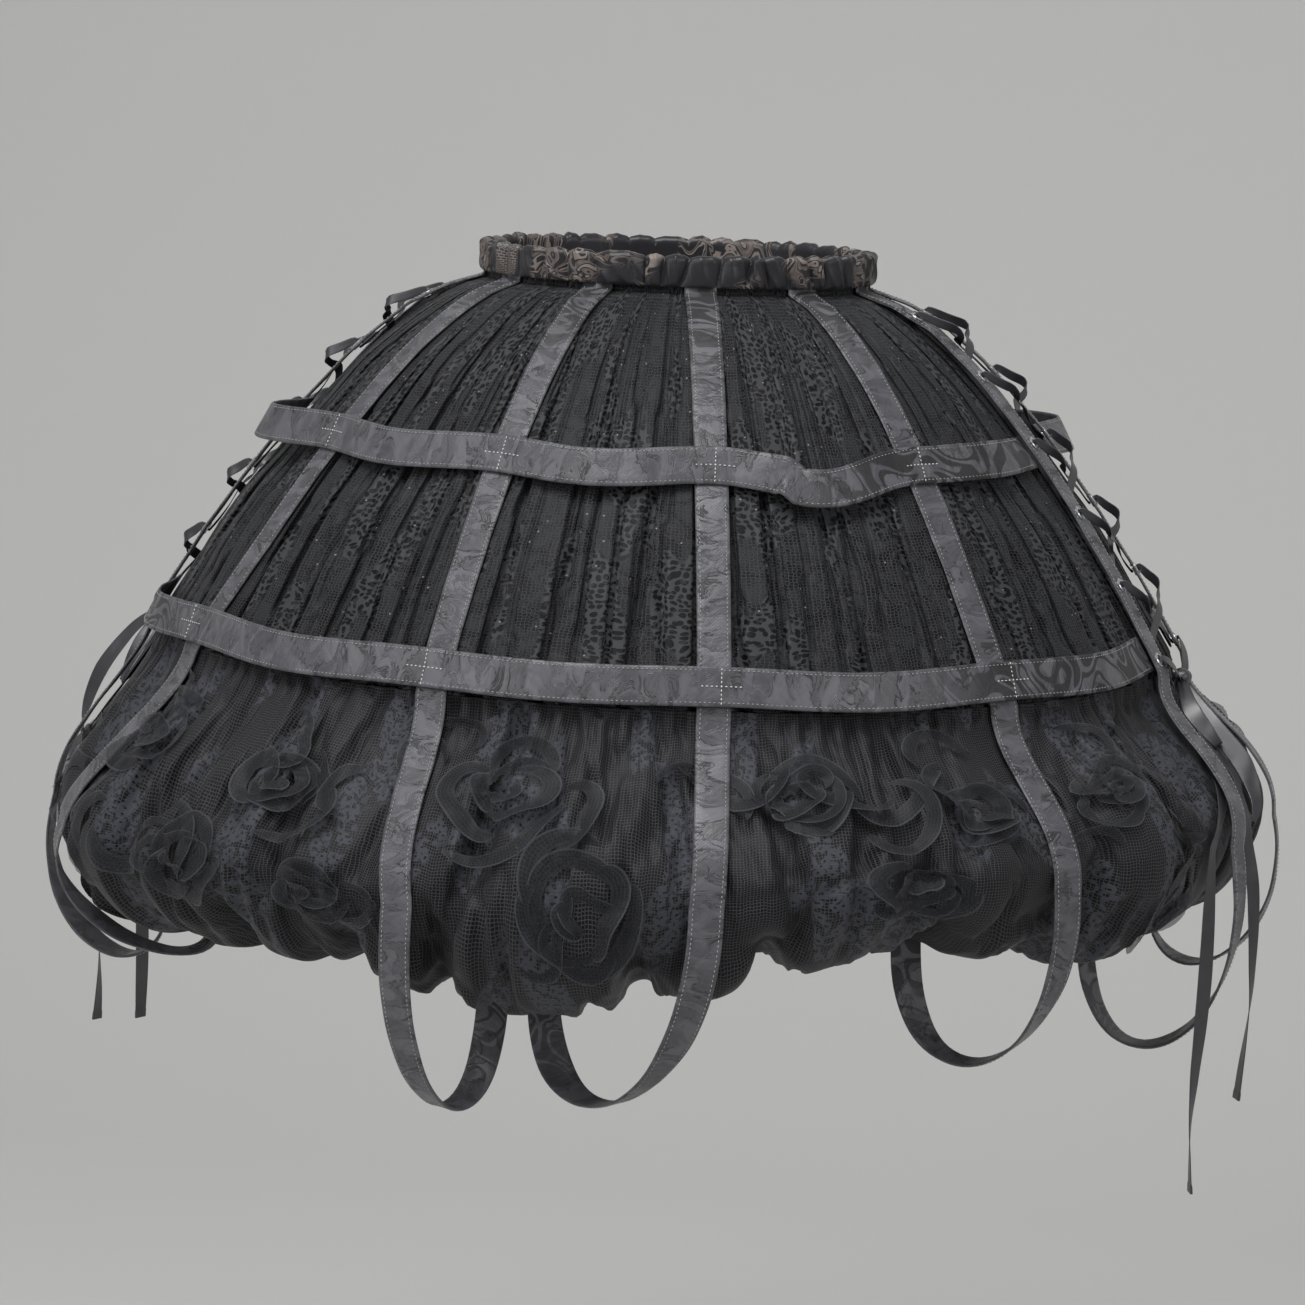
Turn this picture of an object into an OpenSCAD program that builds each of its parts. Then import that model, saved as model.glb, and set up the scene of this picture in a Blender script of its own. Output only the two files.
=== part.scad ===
// Cage skirt: a gathered lace skirt with a bubble hem, under a laced cage of fabric straps.
// Millimetres, +Z up. The origin is the middle of the waist casing, and the front faces -Y.
// An angle round the skirt is 0 at the front and 90 at +X. A drop is measured down from the origin.

/* [Waist] */
// Half width of the waist opening, side to side
waist_half_w = 114; // [105:1:125]
// Half depth of the waist opening, front to back
waist_half_d = 88; // [80:1:100]
// Height of the waist casing
casing_h = 22; // [20:1:28]
// Gathers round the casing
casing_gathers = 40; // [30:2:48]
// How far the gathers stand out
casing_gather = 4; // [2:0.5:5]

/* [Skirt] */
// Drop of the seam between lace and tier
seam_drop = 230; // [222:1:245]
// Half width of the skirt at that seam
seam_half_w = 314; // [300:1:325]
// Half depth of the skirt at that seam
seam_half_d = 287; // [275:1:300]
// Roundness of the upper skirt, lower is rounder
flare = 0.68; // [0.65:0.01:0.8]
// Folds in each half of the lace
lace_folds = 33; // [24:1:36]
// Depth of the lace folds, from middle to crest
lace_fold = 4; // [2:0.5:5]

/* [Tier] */
// Drop of the tier's widest line
bubble_drop = 335; // [325:1:345]
// Half width at the widest line
bubble_half_w = 371; // [362:1:376]
// Half depth at the widest line
bubble_half_d = 346; // [336:1:352]
// Drop of the hem
hem_drop = 390; // [380:1:400]
// How much higher the hem is at +X than at the front
hem_lift = 15; // [0:1:20]
// How far the hem lies in from the widest line
hem_turn = 44; // [36:1:50]
// Puffs in each half of the tier
tier_puffs = 22; // [16:1:24]
// Depth of the puffs, from middle to crest
tier_puff = 6; // [3:0.5:7]
// Outer radius of a rosette
rosette_r = 28; // [20:1:30]
// Height of the rosette's coiled strip
rosette_h = 7; // [4:0.5:9]

/* [Cage] */
// Width of the upright straps
strap_w = 19; // [16:0.5:21]
// Width of the cross bands
band_w = 23; // [18:0.5:23]
// Thickness of straps and bands
strap_t = 1.6; // [1.2:0.1:2]
// Angle from strap to strap
strap_step = 32.5; // [32:0.1:33]
// Drop of the upper band
upper_band_drop = 101; // [96:1:106]
// Drop of the lower band
lower_band_drop = 216; // [212:1:217]

/* [Lacing] */
// Eyelets along each lacing strap
eyelet_count = 6; // [4:1:6]
// Bore of an eyelet
eyelet_bore = 5; // [4.6:0.1:5.4]
// Width of the satin ribbon
ribbon_w = 9; // [7:0.5:10]
// Thickness of the satin ribbon
ribbon_t = 0.6; // [0.4:0.1:0.7]
// Room between a lacing strap and the lace
lacing_room = 4.5; // [4:0.1:6]

/* [Hidden] */
STRAPS = [1:6];
SIDES = ["right", "left"];
NODES = concat(
    ["waist_casing", "waist_elastic", "lining", "lace_front", "lace_back", "tier_front", "tier_back"],
    ["rosettes_front", "rosettes_back"],
    [for (half = ["front", "back"], i = STRAPS) str("strap_", half, "_", i)],
    [for (half = ["front", "back"], level = ["upper", "lower"]) str("band_", half, "_", level)],
    [for (side = SIDES, half = ["front", "back"]) str("eyelets_", side, "_", half)],
    [for (side = SIDES) str("lacing_", side)],
    [for (side = SIDES) str("bow_", side)],
    [for (side = SIDES, end = ["long", "short"]) str("tail_", side, "_", end)]
);
node = "all";

// Gaps between cloths that lie flat on each other, and where one crosses another
fit_gap = 0.4;
cross_gap = 0.7;

// Cloth thicknesses
leaf_t = 1;
lining_t = 0.8;
lace_t = 1;
tier_t = 1.8;
elastic_t = 1.4;
rosette_t = 1.4;

// Layers in the casing, each measured out from the waist opening to the middle of the cloth
casing_low = casing_h/2;
free_top = casing_low + 1.5;
strap_bend = free_top - 0.8;
tuck = 4;
lace_fold_top = 0.3;
lining_in = leaf_t + fit_gap + lining_t/2;
lace_in = lining_in + lining_t/2 + fit_gap + lace_fold_top + lace_t/2;
strap_in = lace_in + lace_t/2 + lace_fold_top + fit_gap + strap_t/2;
strap_sag = pow(strap_w/2, 2)*waist_half_w/pow(waist_half_d, 2)/2;
leaf_in = strap_in + strap_t/2 + strap_sag + fit_gap;
roof_h = 3.5;
elastic_h = casing_h - roof_h - tuck - 4*fit_gap;

// The turned-under hem ends at this angle past the widest line, and is sewn to the lining there
turn_angle = 150;
tier_rows = [0, 0.2, 0.4, 0.6, 0.8, 1, 1.2, 1.5, 1.75, 2];
tier_len = 127;
lining_flare = 0.8;
half_turn = 89.94;
tier_cols = 3*tier_puffs;

// Shares of the drop from casing to seam at which lace and straps have their points
lace_rows = [0, 0.05, 0.16, 0.36, 0.64, 1];
strap_rows = [0.05, 0.1, 0.16, 0.26, 0.36, 0.5, 0.64, 0.82, 0.97];

// Hem loop of each strap, in order of angle: depth below the hem, swing of the inner end,
// outward bulge, and drift of the strap's angle at the widest line
front_loops = [[50, 12, 14, 0], [20, 15, 14, -14], [67, 5, 12, 3], [57, -16, 12, -1], [38, -10, 10, 0],
    [48, -7, 16, -7]];
back_loops = [[25, 5, 14, -7], [40, 10, 12, 0], [55, 8, 12, 0], [55, -10, 12, 0], [40, -10, 12, 0],
    [35, -10, 14, 0]];
strap_shift = [0, 0, 2, 0, 0, 0];
drift_power = 4;
loop_steps = 12;
loop_seat = 1.75;

// Each span of a band between two straps: how far it stands off, and how far it sags
upper_stand = [22, 4, 5, 8, 4];
upper_sag = [0, 2, 3, 9, -1];
lower_stand = [8, 3, 2, 4, 3];
lower_sag = [1, 2, 1, 2, 1];
band_steps = 8;
band_under = 4;

// Rosettes: stretches and inner radius of the coil, then the places. A place has the gap between two straps,
// the share of that gap, and the place along the tier's section
rosette_steps = 13;
rosette_core = 4;
front_rosettes = [[0, 0.5, 0.75], [1, 0.31, 0.45], [1, 0.55, 1], [1, 0.71, 0.55], [1, 0.85, 1.05],
    [2, 0.28, 0.5], [2, 0.62, 1], [3, 0.25, 0.5], [3, 0.54, 1], [3, 0.76, 0.6], [4, 0.3, 0.6],
    [4, 0.56, 1.15]];
back_rosettes = [for (gap = [0:4], place = [[0.32, 0.55], [0.64, 1.05]]) [gap, place[0], place[1]]];

// Eyelets
eyelet_wall = 0.7;
eyelet_flange = 2.1;
eyelet_pad = 6;
eyelet_spread = 1.1;
eyelet_start = 13;
first_eyelet = free_top + eyelet_start;
room_ramp = first_eyelet + eyelet_pad - free_top;
last_eyelet = lower_band_drop + 4;

// Ribbon, bunched where it goes through an eyelet, and how far it passes over and under a strap's middle
bunch_w = 3.2;
over_out = strap_t/2 + 2.3;
under_out = -strap_t/2 - 1.5;
knot_r = 5.5;
knot_half = 3;
knot_below = 20;
knot_drop = lower_band_drop + knot_below;
knot_out = 8;
bow_start = 0.1;
bow_low = 4.5;
bow_gap = 11;
bow_ends = [[-4, 0.5], [3, 0.86]];
bow_steps = 18;

// Routes of the ribbon tails, from the bow to the bare end
tail_right_long = [[322, -15, -242], [326, -22, -248], [330, -29, -254], [337, -41, -262],
    [344, -53, -270], [350, -68, -279], [356, -83, -287], [359, -98, -297], [359, -112, -306],
    [358, -120, -314], [357, -125, -321], [357, -125, -350], [357, -126, -385], [356, -126, -420],
    [354, -125, -455], [353, -124, -490], [355, -124, -525]];
tail_right_short = [[322, -3, -242], [327, -7, -248], [332, -12, -254], [340, -21, -262],
    [347, -30, -270], [355, -41, -279], [363, -52, -287], [367, -61, -296], [371, -69, -305],
    [373, -74, -313], [374, -77, -320], [379, -79, -350], [381, -79, -385], [381, -79, -420],
    [378, -78, -455], [376, -78, -478]];
tail_left_long = [[-322, -5, -242], [-327, -2, -251], [-332, 1, -261], [-340, 5, -273],
    [-349, 10, -285], [-358, 15, -298], [-366, 20, -310], [-372, 23, -322], [-377, 26, -334],
    [-380, 28, -350], [-380, 28, -385], [-379, 29, -420], [-379, 28, -455], [-378, 28, -490],
    [-379, 27, -519]];
tail_left_short = [[-322, 6, -242], [-326, 14, -251], [-331, 22, -261], [-338, 32, -273],
    [-346, 43, -285], [-353, 54, -298], [-360, 65, -310], [-364, 73, -322], [-368, 81, -334],
    [-369, 86, -350], [-370, 87, -385], [-370, 86, -420], [-369, 86, -455], [-368, 85, -490],
    [-369, 86, -531]];

// Small helpers
function lerp(a, b, t) = a + (b - a)*t;
function clamp(t) = max(0, min(1, t));
function smooth(t) = clamp(t)*clamp(t)*(3 - 2*clamp(t));
function unit(v) = v/norm(v);
function flat(rows) = [for (row = rows) for (p = row) p];
function waist_at(phi, out, z) = [(waist_half_w + out)*sin(phi), -(waist_half_d + out)*cos(phi), z];

// Radius of the upper skirt at a drop, from the waist to the seam
function cone_r(h, top_r, low_r, low, power) =
    lerp(top_r, low_r, pow(clamp((h - free_top)/(low - free_top)), power));

// Depth of the lace folds at a drop
function lace_depth(h) =
    lace_fold_top
    + (lace_fold - lace_fold_top)*sin(90*clamp((h - free_top)/70))*(1 - 0.4*pow(h/seam_drop, 2));

// Point on the lace's middle, moved out level by out
function lace_at(phi, h, out) =
    let (w = cone_r(h, waist_half_w + lace_in, seam_half_w, seam_drop, flare))
    let (d = cone_r(h, waist_half_d + lace_in, seam_half_d, seam_drop, flare))
    [(w + out)*sin(phi), -(d + out)*cos(phi), -h];

// Direction round the lace at an angle and drop
function lace_round(phi, h) = unit(lace_at(phi + 1, h, 0) - lace_at(phi - 1, h, 0));

// Section of the tier: radius, drop and outward normal. m is 0 at the seam, 1 at the widest line and 2 inside
function tier_section(m, seam_r, wide_r) =
    m < 1
    ? let (r = lerp(seam_r, wide_r, (1 - cos(180*m))/2))
      let (down = bubble_drop - seam_drop - fit_gap)
      let (out = (wide_r - seam_r)*sin(180*m)*PI/2)
      concat([r, lerp(seam_drop + fit_gap, bubble_drop, m)], unit([down, out]))
    : let (turn = (m - 1)*turn_angle)
      let (depth = hem_drop - bubble_drop)
      concat([wide_r - hem_turn*(1 - cos(turn)), bubble_drop + depth*sin(turn)],
          unit([depth*cos(turn), -hem_turn*sin(turn)]));

// Depth of the tier's puffs along its section
function tier_depth(m) = tier_puff*(0.3 + 0.7*sin(180*clamp(m/1.8)));

// Point on the tier's middle, moved out along its normal by out
function tier_at(phi, m, out) =
    let (w = tier_section(m, seam_half_w, bubble_half_w))
    let (d = tier_section(m, seam_half_d, bubble_half_d))
    let (lift = hem_lift*sin(phi)*smooth(m))
    [(w[0] + out*w[2])*sin(phi), -(d[0] + out*w[2])*cos(phi), -w[1] + out*w[3] + lift];

// Direction round the tier at an angle and place along its section
function tier_round(phi, m) = unit(tier_at(phi + 1, m, 0) - tier_at(phi - 1, m, 0));

// First clear distance from the tier's middle to something that lies on it
function on_tier(m) = tier_depth(m) + tier_t/2 + fit_gap;

// Closed sheet between two grids of points. Rows run down and columns run round with the angle
module sheet(outer, inner) {
    rows = len(outer);
    cols = len(outer[0]);
    n = rows*cols;
    faces = concat(
        [for (i = [0:rows - 2], j = [0:cols - 2]) let (a = i*cols + j, b = a + cols)
            each [[a, a + 1, b + 1], [a, b + 1, b], [n + a, n + b + 1, n + a + 1], [n + a, n + b, n + b + 1]]],
        [for (j = [0:cols - 2]) let (a = j, b = (rows - 1)*cols + j)
            each [[a, n + a, n + a + 1], [a, n + a + 1, a + 1], [b, b + 1, n + b + 1], [b, n + b + 1, n + b]]],
        [for (i = [0:rows - 2]) let (a = i*cols, b = a + cols, c = a + cols - 1, d = b + cols - 1)
            each [[n + a, a, b], [n + a, b, n + b], [n + c, d, c], [n + c, n + d, d]]]
    );
    polyhedron(concat(flat(outer), flat(inner)), faces);
}

// Ring from section loops. Each loop runs down its outer face and up its inner one
module ring(loops) {
    cols = len(loops);
    size = len(loops[0]);
    faces = [for (j = [0:cols - 1], k = [0:size - 1])
        let (a = j*size, b = ((j + 1) % cols)*size, next = (k + 1) % size)
        each [[a + k, b + k, b + next], [a + k, b + next, a + next]]];
    polyhedron(flat(loops), faces);
}

// Flat strip along points. sides holds its width direction at each point, and halves its half width
module strip(points, sides, halves, thick) {
    last = len(points) - 1;
    ahead = [for (i = [0:last]) unit(points[min(i + 1, last)] - points[max(i - 1, 0)])];
    across = [for (i = [0:last]) unit(sides[i] - ahead[i]*(sides[i]*ahead[i]))];
    up = [for (i = [0:last]) cross(ahead[i], across[i])*thick/2];
    corners = [[-1, -1], [1, -1], [1, 1], [-1, 1]];
    rings = [for (i = [0:last], c = corners) points[i] + across[i]*halves[i]*c[0] + up[i]*c[1]];
    faces = [for (i = [0:last - 1], k = [0:3]) let (a = 4*i + k, b = 4*i + (k + 1) % 4)
        each [[a, b + 4, b], [a, a + 4, b + 4]]];
    polyhedron(rings, concat(faces, [[0, 1, 2, 3], [for (k = [3:-1:0]) 4*last + k]]));
}

// Waist: ruched casing folded over the elastic, open below for the layers sewn into it
module waist_casing() {
    step = 360/(3*casing_gathers);
    color("#2b2724")
    ring([for (phi = [0:step:359.9])
        let (g = casing_gather*(0.5 + 0.5*cos(casing_gathers*phi))*(0.8 + 0.2*cos(7*phi)))
        let (out = leaf_in + leaf_t, top = casing_h/2, low = -casing_low)
        [for (p = [
            [out/2, top], [out + 0.5*g, top - 2.5], [out + g, 0], [out + 0.3*g, low],
            [leaf_in + 0.3*g, low], [leaf_in + g, 0], [leaf_in + 0.5*g, top - roof_h],
            [leaf_t, top - roof_h/2], [leaf_t, low], [0, low], [0, top - 1]
        ]) waist_at(phi, p[0], p[1])]]);
}

module waist_elastic() {
    inner = leaf_t + fit_gap;
    edge = [for (phi = [0:5:355]) waist_at(phi, inner, 0)];
    rim = [for (phi = [0:5:355]) waist_at(phi, inner + elastic_t, 0)];
    color("#d8d8d4")
    translate([0, 0, casing_h/2 - roof_h - fit_gap - elastic_h])
    linear_extrude(elastic_h)
    difference() {
        polygon([for (p = rim) [p[0], p[1]]]);
        polygon([for (p = edge) [p[0], p[1]]]);
    }
}

// Lining: plain cone inside, from the casing to the turned-under hem
module lining() {
    seat = tier_section(2, seam_half_w, bubble_half_w);
    in = bubble_half_w - seat[0] + on_tier(2) + lining_t/2;
    low = seat[1];
    shares = [0, 0.12, 0.3, 0.6, 1];
    drops = concat([casing_low - tuck], [for (s = shares) lerp(free_top, low, s)]);
    function at(phi, h, out) =
        let (w = cone_r(h, waist_half_w + lining_in, bubble_half_w - in, low, lining_flare))
        let (d = cone_r(h, waist_half_d + lining_in, bubble_half_d - in, low, lining_flare))
        [(w + out)*sin(phi), -(d + out)*cos(phi), -h];
    last = len(drops) - 1;
    color("#141416")
    ring([for (phi = [0:6:354]) concat(
        [for (h = drops) at(phi, h, lining_t/2)],
        [for (i = [last:-1:0]) at(phi, drops[i], -lining_t/2)])]);
}

// Lace: half of the gathered overskirt, centred on the angle mid
module lace(mid) {
    cols = 3*lace_folds;
    drops = concat([casing_low - tuck], [for (s = lace_rows) lerp(free_top, seam_drop, s)]);
    function fold(h, phi) = lace_depth(h)*cos((phi - mid)*2*lace_folds)*(0.8 + 0.2*cos(5*phi));
    grid = [for (h = drops) [for (j = [0:cols])
        let (phi = mid + lerp(-half_turn, half_turn, j/cols)) [phi, h, fold(h, phi)]]];
    color("#232326")
    sheet(
        [for (row = grid) [for (g = row) lace_at(g[0], g[1], g[2] + lace_t/2)]],
        [for (row = grid) [for (g = row) lace_at(g[0], g[1], g[2] - lace_t/2)]]);
}

// Tier: half of the bubble flounce, puffed out and turned under, centred on the angle mid
function tier_column(mid, j) = mid + lerp(-half_turn, half_turn, j/tier_cols);
function tier_crest(mid, m, j) = let (phi = tier_column(mid, j))
    tier_depth(m)*cos((phi - mid)*2*tier_puffs + 25*sin(3*phi))*(0.75 + 0.25*cos(9*phi + 200*m));

function tier_point(mid, i, j, out) = let (m = tier_rows[i])
    tier_at(tier_column(mid, j), m, tier_crest(mid, m, j) + out);

module tier(mid) {
    rows = [0:len(tier_rows) - 1];
    color("#1d1e22")
    sheet(
        [for (i = rows) [for (j = [0:tier_cols]) tier_point(mid, i, j, tier_t/2)]],
        [for (i = rows) [for (j = [0:tier_cols]) tier_point(mid, i, j, -tier_t/2)]]);
}

// Rosette: coiled strip standing on the highest puff under it
module rosette(mid, phi, m) {
    turns = [for (k = [0:rosette_steps]) [lerp(rosette_core, rosette_r, k/rosette_steps), 50*k]];
    spots = [for (t = turns)
        [phi + t[0]*cos(t[1])/bubble_half_d*180/PI, m + t[0]*sin(t[1])/tier_len]];
    // Height of the cloth above the coil's middle, along the coil's stretch k
    function cloth(k, t) =
        let (s = lerp(spots[k], spots[k + 1], t))
        let (c = (s[0] - mid + half_turn)/(2*half_turn)*tier_cols, j = floor(c))
        let (i = len([for (row = tier_rows) if (row <= s[1]) row]) - 1)
        let (above = lerp(tier_point(mid, i, j, 0), tier_point(mid, i, j + 1, 0), c - j))
        let (below = lerp(tier_point(mid, i + 1, j, 0), tier_point(mid, i + 1, j + 1, 0), c - j))
        let (down = (s[1] - tier_rows[i])/(tier_rows[i + 1] - tier_rows[i]))
        let (ends = [for (n = [k, k + 1]) tier_at(spots[n][0], spots[n][1], 0)])
        let (normal = tier_at(s[0], s[1], 1) - tier_at(s[0], s[1], 0))
        (lerp(above, below, down) - lerp(ends[0], ends[1], t))*normal;
    seat = max([for (k = [0:rosette_steps - 1], t = [0:0.1:1]) cloth(k, t)]);
    out = seat + tier_t/2 + cross_gap + rosette_h/2;
    strip(
        [for (s = spots) tier_at(s[0], s[1], out)],
        [for (s = spots) tier_at(s[0], s[1], out + 1) - tier_at(s[0], s[1], out)],
        [for (s = spots) rosette_h/2], rosette_t);
}

module rosettes(half) {
    color("#26272c")
    for (s = half == "front" ? front_rosettes : back_rosettes)
        rosette(mid_of(half),
            lerp(strap_phi(half, s[0], bubble_drop), strap_phi(half, s[0] + 1, bubble_drop), s[1]), s[2]);
}

// Straps: angle of each, and its points down the lace, over the tier and round the hem loop
function strap_angle(i) = (i - 2.5)*strap_step + strap_shift[i];
function eyelet_drop(i) =
    lerp(first_eyelet, last_eyelet, pow(i/(eyelet_count - 1), eyelet_spread));
function laced(i) = i == 0 || i == 5;
function room(i, h) = laced(i) ? lacing_room*clamp((h - free_top)/room_ramp) : 0;
function mid_of(half) = half == "front" ? 0 : 180;
function loop_of(half, i) = half == "front" ? front_loops[i] : back_loops[i];
function strap_phi(half, i, h) =
    mid_of(half) + strap_angle(i) + loop_of(half, i)[3]*pow(min(h, bubble_drop)/bubble_drop, drift_power);

// How much longer a level step is than the same step square to the lace
function lean(h) = h > free_top ? norm([1, (lace_at(90, h + 1, 0) - lace_at(90, h - 1, 0))[0]/2]) : 1;

// Point on the middle of a strap that lies on the lace
function strap_at(phi, h, extra) =
    lace_at(phi, h, lace_depth(h) + lace_t/2 + (fit_gap + strap_t/2 + extra)*lean(h));

function strap_drops(i) = laced(i)
    ? concat([casing_low - tuck, strap_bend],
        [for (k = [0:eyelet_count - 1], s = [-1, 1]) eyelet_drop(k) + s*eyelet_pad])
    : concat([casing_low - tuck, strap_bend], [for (s = strap_rows) lerp(free_top, seam_drop, s)]);

// Hem loop from the widest line, down and in to the turned-under hem
function loop_at(a, b, depth, bulge, phi, t) =
    let (low = -hem_drop - depth, reach = ((a[2] + b[2])/2 - low)/0.75)
    let (out = bulge*1.6*[sin(phi), -cos(phi), 0], down = [0, 0, -reach])
    let (u = 1 - t)
    a*u*u*u + (a + out + down)*3*t*u*u + (b + down)*3*t*t*u + b*t*t*t;

module strap(half, i) {
    phi = strap_phi(half, i, bubble_drop);
    drops = strap_drops(i);
    loop = loop_of(half, i);
    end_phi = phi + loop[1];
    start_side = tier_round(phi, 1);
    function tier_phi(m) = strap_phi(half, i, lerp(seam_drop, bubble_drop, m));
    function on(m) = tier_at(tier_phi(m), m, on_tier(m) + strap_t/2 + room(i, hem_drop));
    a = on(1);
    b = tier_at(end_phi, loop_seat, on_tier(loop_seat) + 1);
    crossing = unit(cross([b[0] - a[0], b[1] - a[1], 0], [0, 0, -1]));
    turn_side = crossing*start_side < 0 ? -crossing : crossing;
    over = [for (m = tier_rows) if (m < 1) m];
    steps = [for (k = [0:loop_steps]) k/loop_steps];
    points = concat(
        [for (h = drops) strap_at(strap_phi(half, i, h), h, room(i, h))],
        [for (m = over) on(m)],
        [for (t = steps) loop_at(a, b, loop[0], loop[2], phi, t)]);
    sides = concat(
        [for (h = drops) lace_round(strap_phi(half, i, h), h)],
        [for (m = over) tier_round(tier_phi(m), m)],
        [for (t = steps) t < 0.5
            ? lerp(start_side, turn_side, smooth(2*t))
            : lerp(turn_side, tier_round(end_phi, loop_seat), smooth(2*t - 1))]);
    color("#38383c")
    difference() {
        strip(points, sides, [for (p = points) strap_w/2], strap_t);
        if (laced(i))
            for (k = [0:eyelet_count - 1])
                at_eyelet(half, i, k)
                cylinder(h = 4*strap_t, r = eyelet_bore/2 + eyelet_wall + 0.1, center = true, $fn = 32);
    }
}

// Centre and outward normal of an eyelet, on the flat stretch of its strap
function eyelet_ends(half, i, k) = [for (s = [-1, 1])
    let (h = eyelet_drop(k) + s*eyelet_pad) strap_at(strap_phi(half, i, h), h, room(i, h))];
function eyelet_centre(half, i, k) = let (e = eyelet_ends(half, i, k)) (e[0] + e[1])/2;
function eyelet_normal(half, i, k) =
    let (e = eyelet_ends(half, i, k), phi = strap_phi(half, i, eyelet_drop(k)))
    unit(cross(e[0] - e[1], -lace_round(phi, eyelet_drop(k))));

module at_eyelet(half, i, k) {
    n = eyelet_normal(half, i, k);
    translate(eyelet_centre(half, i, k))
    rotate([0, acos(n[2]), atan2(n[1], n[0])])
    children();
}

module eyelets(half, i) {
    bore = eyelet_bore/2;
    barrel = bore + eyelet_wall;
    rim = bore + eyelet_flange;
    face = strap_t/2 + 0.05;
    color("#c9ccd0")
    for (k = [0:eyelet_count - 1])
        at_eyelet(half, i, k)
        rotate_extrude($fn = 32)
        polygon([[bore, -face - 0.5], [rim - 0.4, -face - 0.5], [rim - 0.4, -face], [barrel, -face],
            [barrel, face], [rim, face], [rim, face + 0.4], [rim - 0.5, face + 0.9],
            [bore + 0.4, face + 0.9], [bore, face + 0.5]]);
}

// Band: from one lacing strap to the other, over the four straps between and under the two at its ends
module band(half, drop, stand, sag) {
    tuck_phi = asin((strap_w/2 - band_under)/lace_at(90, drop, 0)[0]);
    first = strap_phi(half, 0, drop) + tuck_phi;
    last = strap_phi(half, 5, drop) - tuck_phi;
    count = 5*band_steps;
    under = lace_t/2 + (fit_gap + strap_t/2 + 0.4)*lean(drop);
    above = lace_t/2 + (fit_gap + strap_t + cross_gap + strap_t/2)*lean(drop);
    spots = [for (k = [0:count])
        let (phi = lerp(first, last, k/count), s = clamp((phi - mid_of(half))/strap_step/5 + 0.5)*5)
        let (span = min(4, floor(s)), wave = pow(sin(180*(s - span)), 2))
        let (rise = smooth((min(s, 5 - s) - 0.1)/0.5))
        [phi, drop + sag[span]*wave, lerp(under, above, rise) + stand[span]*wave]];
    function at(s, dh) = lace_at(s[0], s[1] + dh, lace_depth(s[1]) + s[2]);
    color("#3b3b40")
    strip([for (s = spots) at(s, 0)], [for (s = spots) at(s, -3) - at(s, 3)],
        [for (s = spots) band_w/2], strap_t);
}

// Lacing: one ribbon, from the bow up through both rows of eyelets and down again
// A crossing leaves its eyelet outward, passes over the first strap's edge and under the second's
// A side has a front strap and a back one. Where is [half, strap] for the one towards -1 or +1 of its angle
function where(side, s) = side == "right"
    ? (s < 0 ? ["front", 5] : ["back", 0])
    : (s < 0 ? ["back", 5] : ["front", 0]);
function hole(side, s, k) = let (w = where(side, s))
    [eyelet_centre(w[0], w[1], k), eyelet_normal(w[0], w[1], k)];
function hole_phi(side, s, h) = let (w = where(side, s), phi = strap_phi(w[0], w[1], h))
    phi - 360*round((phi - side_of(side))/360);

// Point between the two lacing straps: t is 0 on one and 1 on the other, out is square to the lace
function gap_at(side, s, from, to, t, out) =
    let (h = lerp(from, to, t), phi = lerp(hole_phi(side, s, h), hole_phi(side, -s, h), t))
    strap_at(phi, h, room(0, h) + out);

function crossing(side, s, k, lift) = let (a = hole(side, s, k), b = hole(side, -s, k + 1))
    let (from = eyelet_drop(k), to = eyelet_drop(k + 1))
    concat(
        [[a[0], bunch_w], [a[0] + a[1]*over_out, bunch_w]],
        [for (c = [[0.22, over_out], [0.36, over_out*0.7], [0.5, lift], [0.64, under_out*0.7], [0.78, under_out]])
            [gap_at(side, s, from, to, c[0], c[1]), ribbon_w]],
        [[b[0] + b[1]*under_out, bunch_w]]);

function strand(side, s) = [for (k = [0:eyelet_count - 2])
    each crossing(side, k % 2 == 0 ? s : -s, k, s*1.1)];

// Last stretch of a strand: out of the lowest eyelet and over its strap to the bow
function knot_phi(side) = (hole_phi(side, 1, knot_drop) + hole_phi(side, -1, knot_drop))/2;
function knot_centre(side) =
    lace_at(knot_phi(side), knot_drop, lace_depth(seam_drop) + knot_out);
function to_knot(side, s) =
    let (h = hole(side, s, eyelet_count - 1))
    let (stop = knot_centre(side) + lace_round(knot_phi(side), knot_drop)*s*(knot_half + knot_r + 2*fit_gap))
    let (lift = h[0] + h[1]*over_out)
    [[h[0], bunch_w], [lift, bunch_w], [lerp(lift, stop, 0.3) + h[1]*2, ribbon_w],
        [lerp(lift, stop, 0.7) + h[1]*2, ribbon_w], [stop, ribbon_w*0.6]];

function reversed(list) = [for (i = [len(list) - 1:-1:0]) list[i]];

module lacing(side) {
    // With an even number of eyelets each strand ends on the side across from its start
    flip = eyelet_count % 2 == 0 ? -1 : 1;
    one = hole(side, -1, 0);
    two = hole(side, 1, 0);
    bar = concat(
        [[one[0] + one[1]*under_out, bunch_w]],
        [for (t = [0.3, 0.5, 0.7]) [gap_at(side, -1, first_eyelet, first_eyelet, t, under_out), ribbon_w]],
        [[two[0] + two[1]*under_out, bunch_w]]);
    path = concat(
        reversed(concat(strand(side, -1), to_knot(side, -flip))), bar,
        concat(strand(side, 1), to_knot(side, flip)));
    function slope(p) = let (h = min(-p[2], seam_drop - 3))
        lace_at(side_of(side), h - 3, 0) - lace_at(side_of(side), h + 3, 0);
    color("#17171a")
    strip([for (p = path) p[0]], [for (p = path) unit(slope(p[0]))], [for (p = path) p[1]/2], ribbon_t);
}

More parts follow.
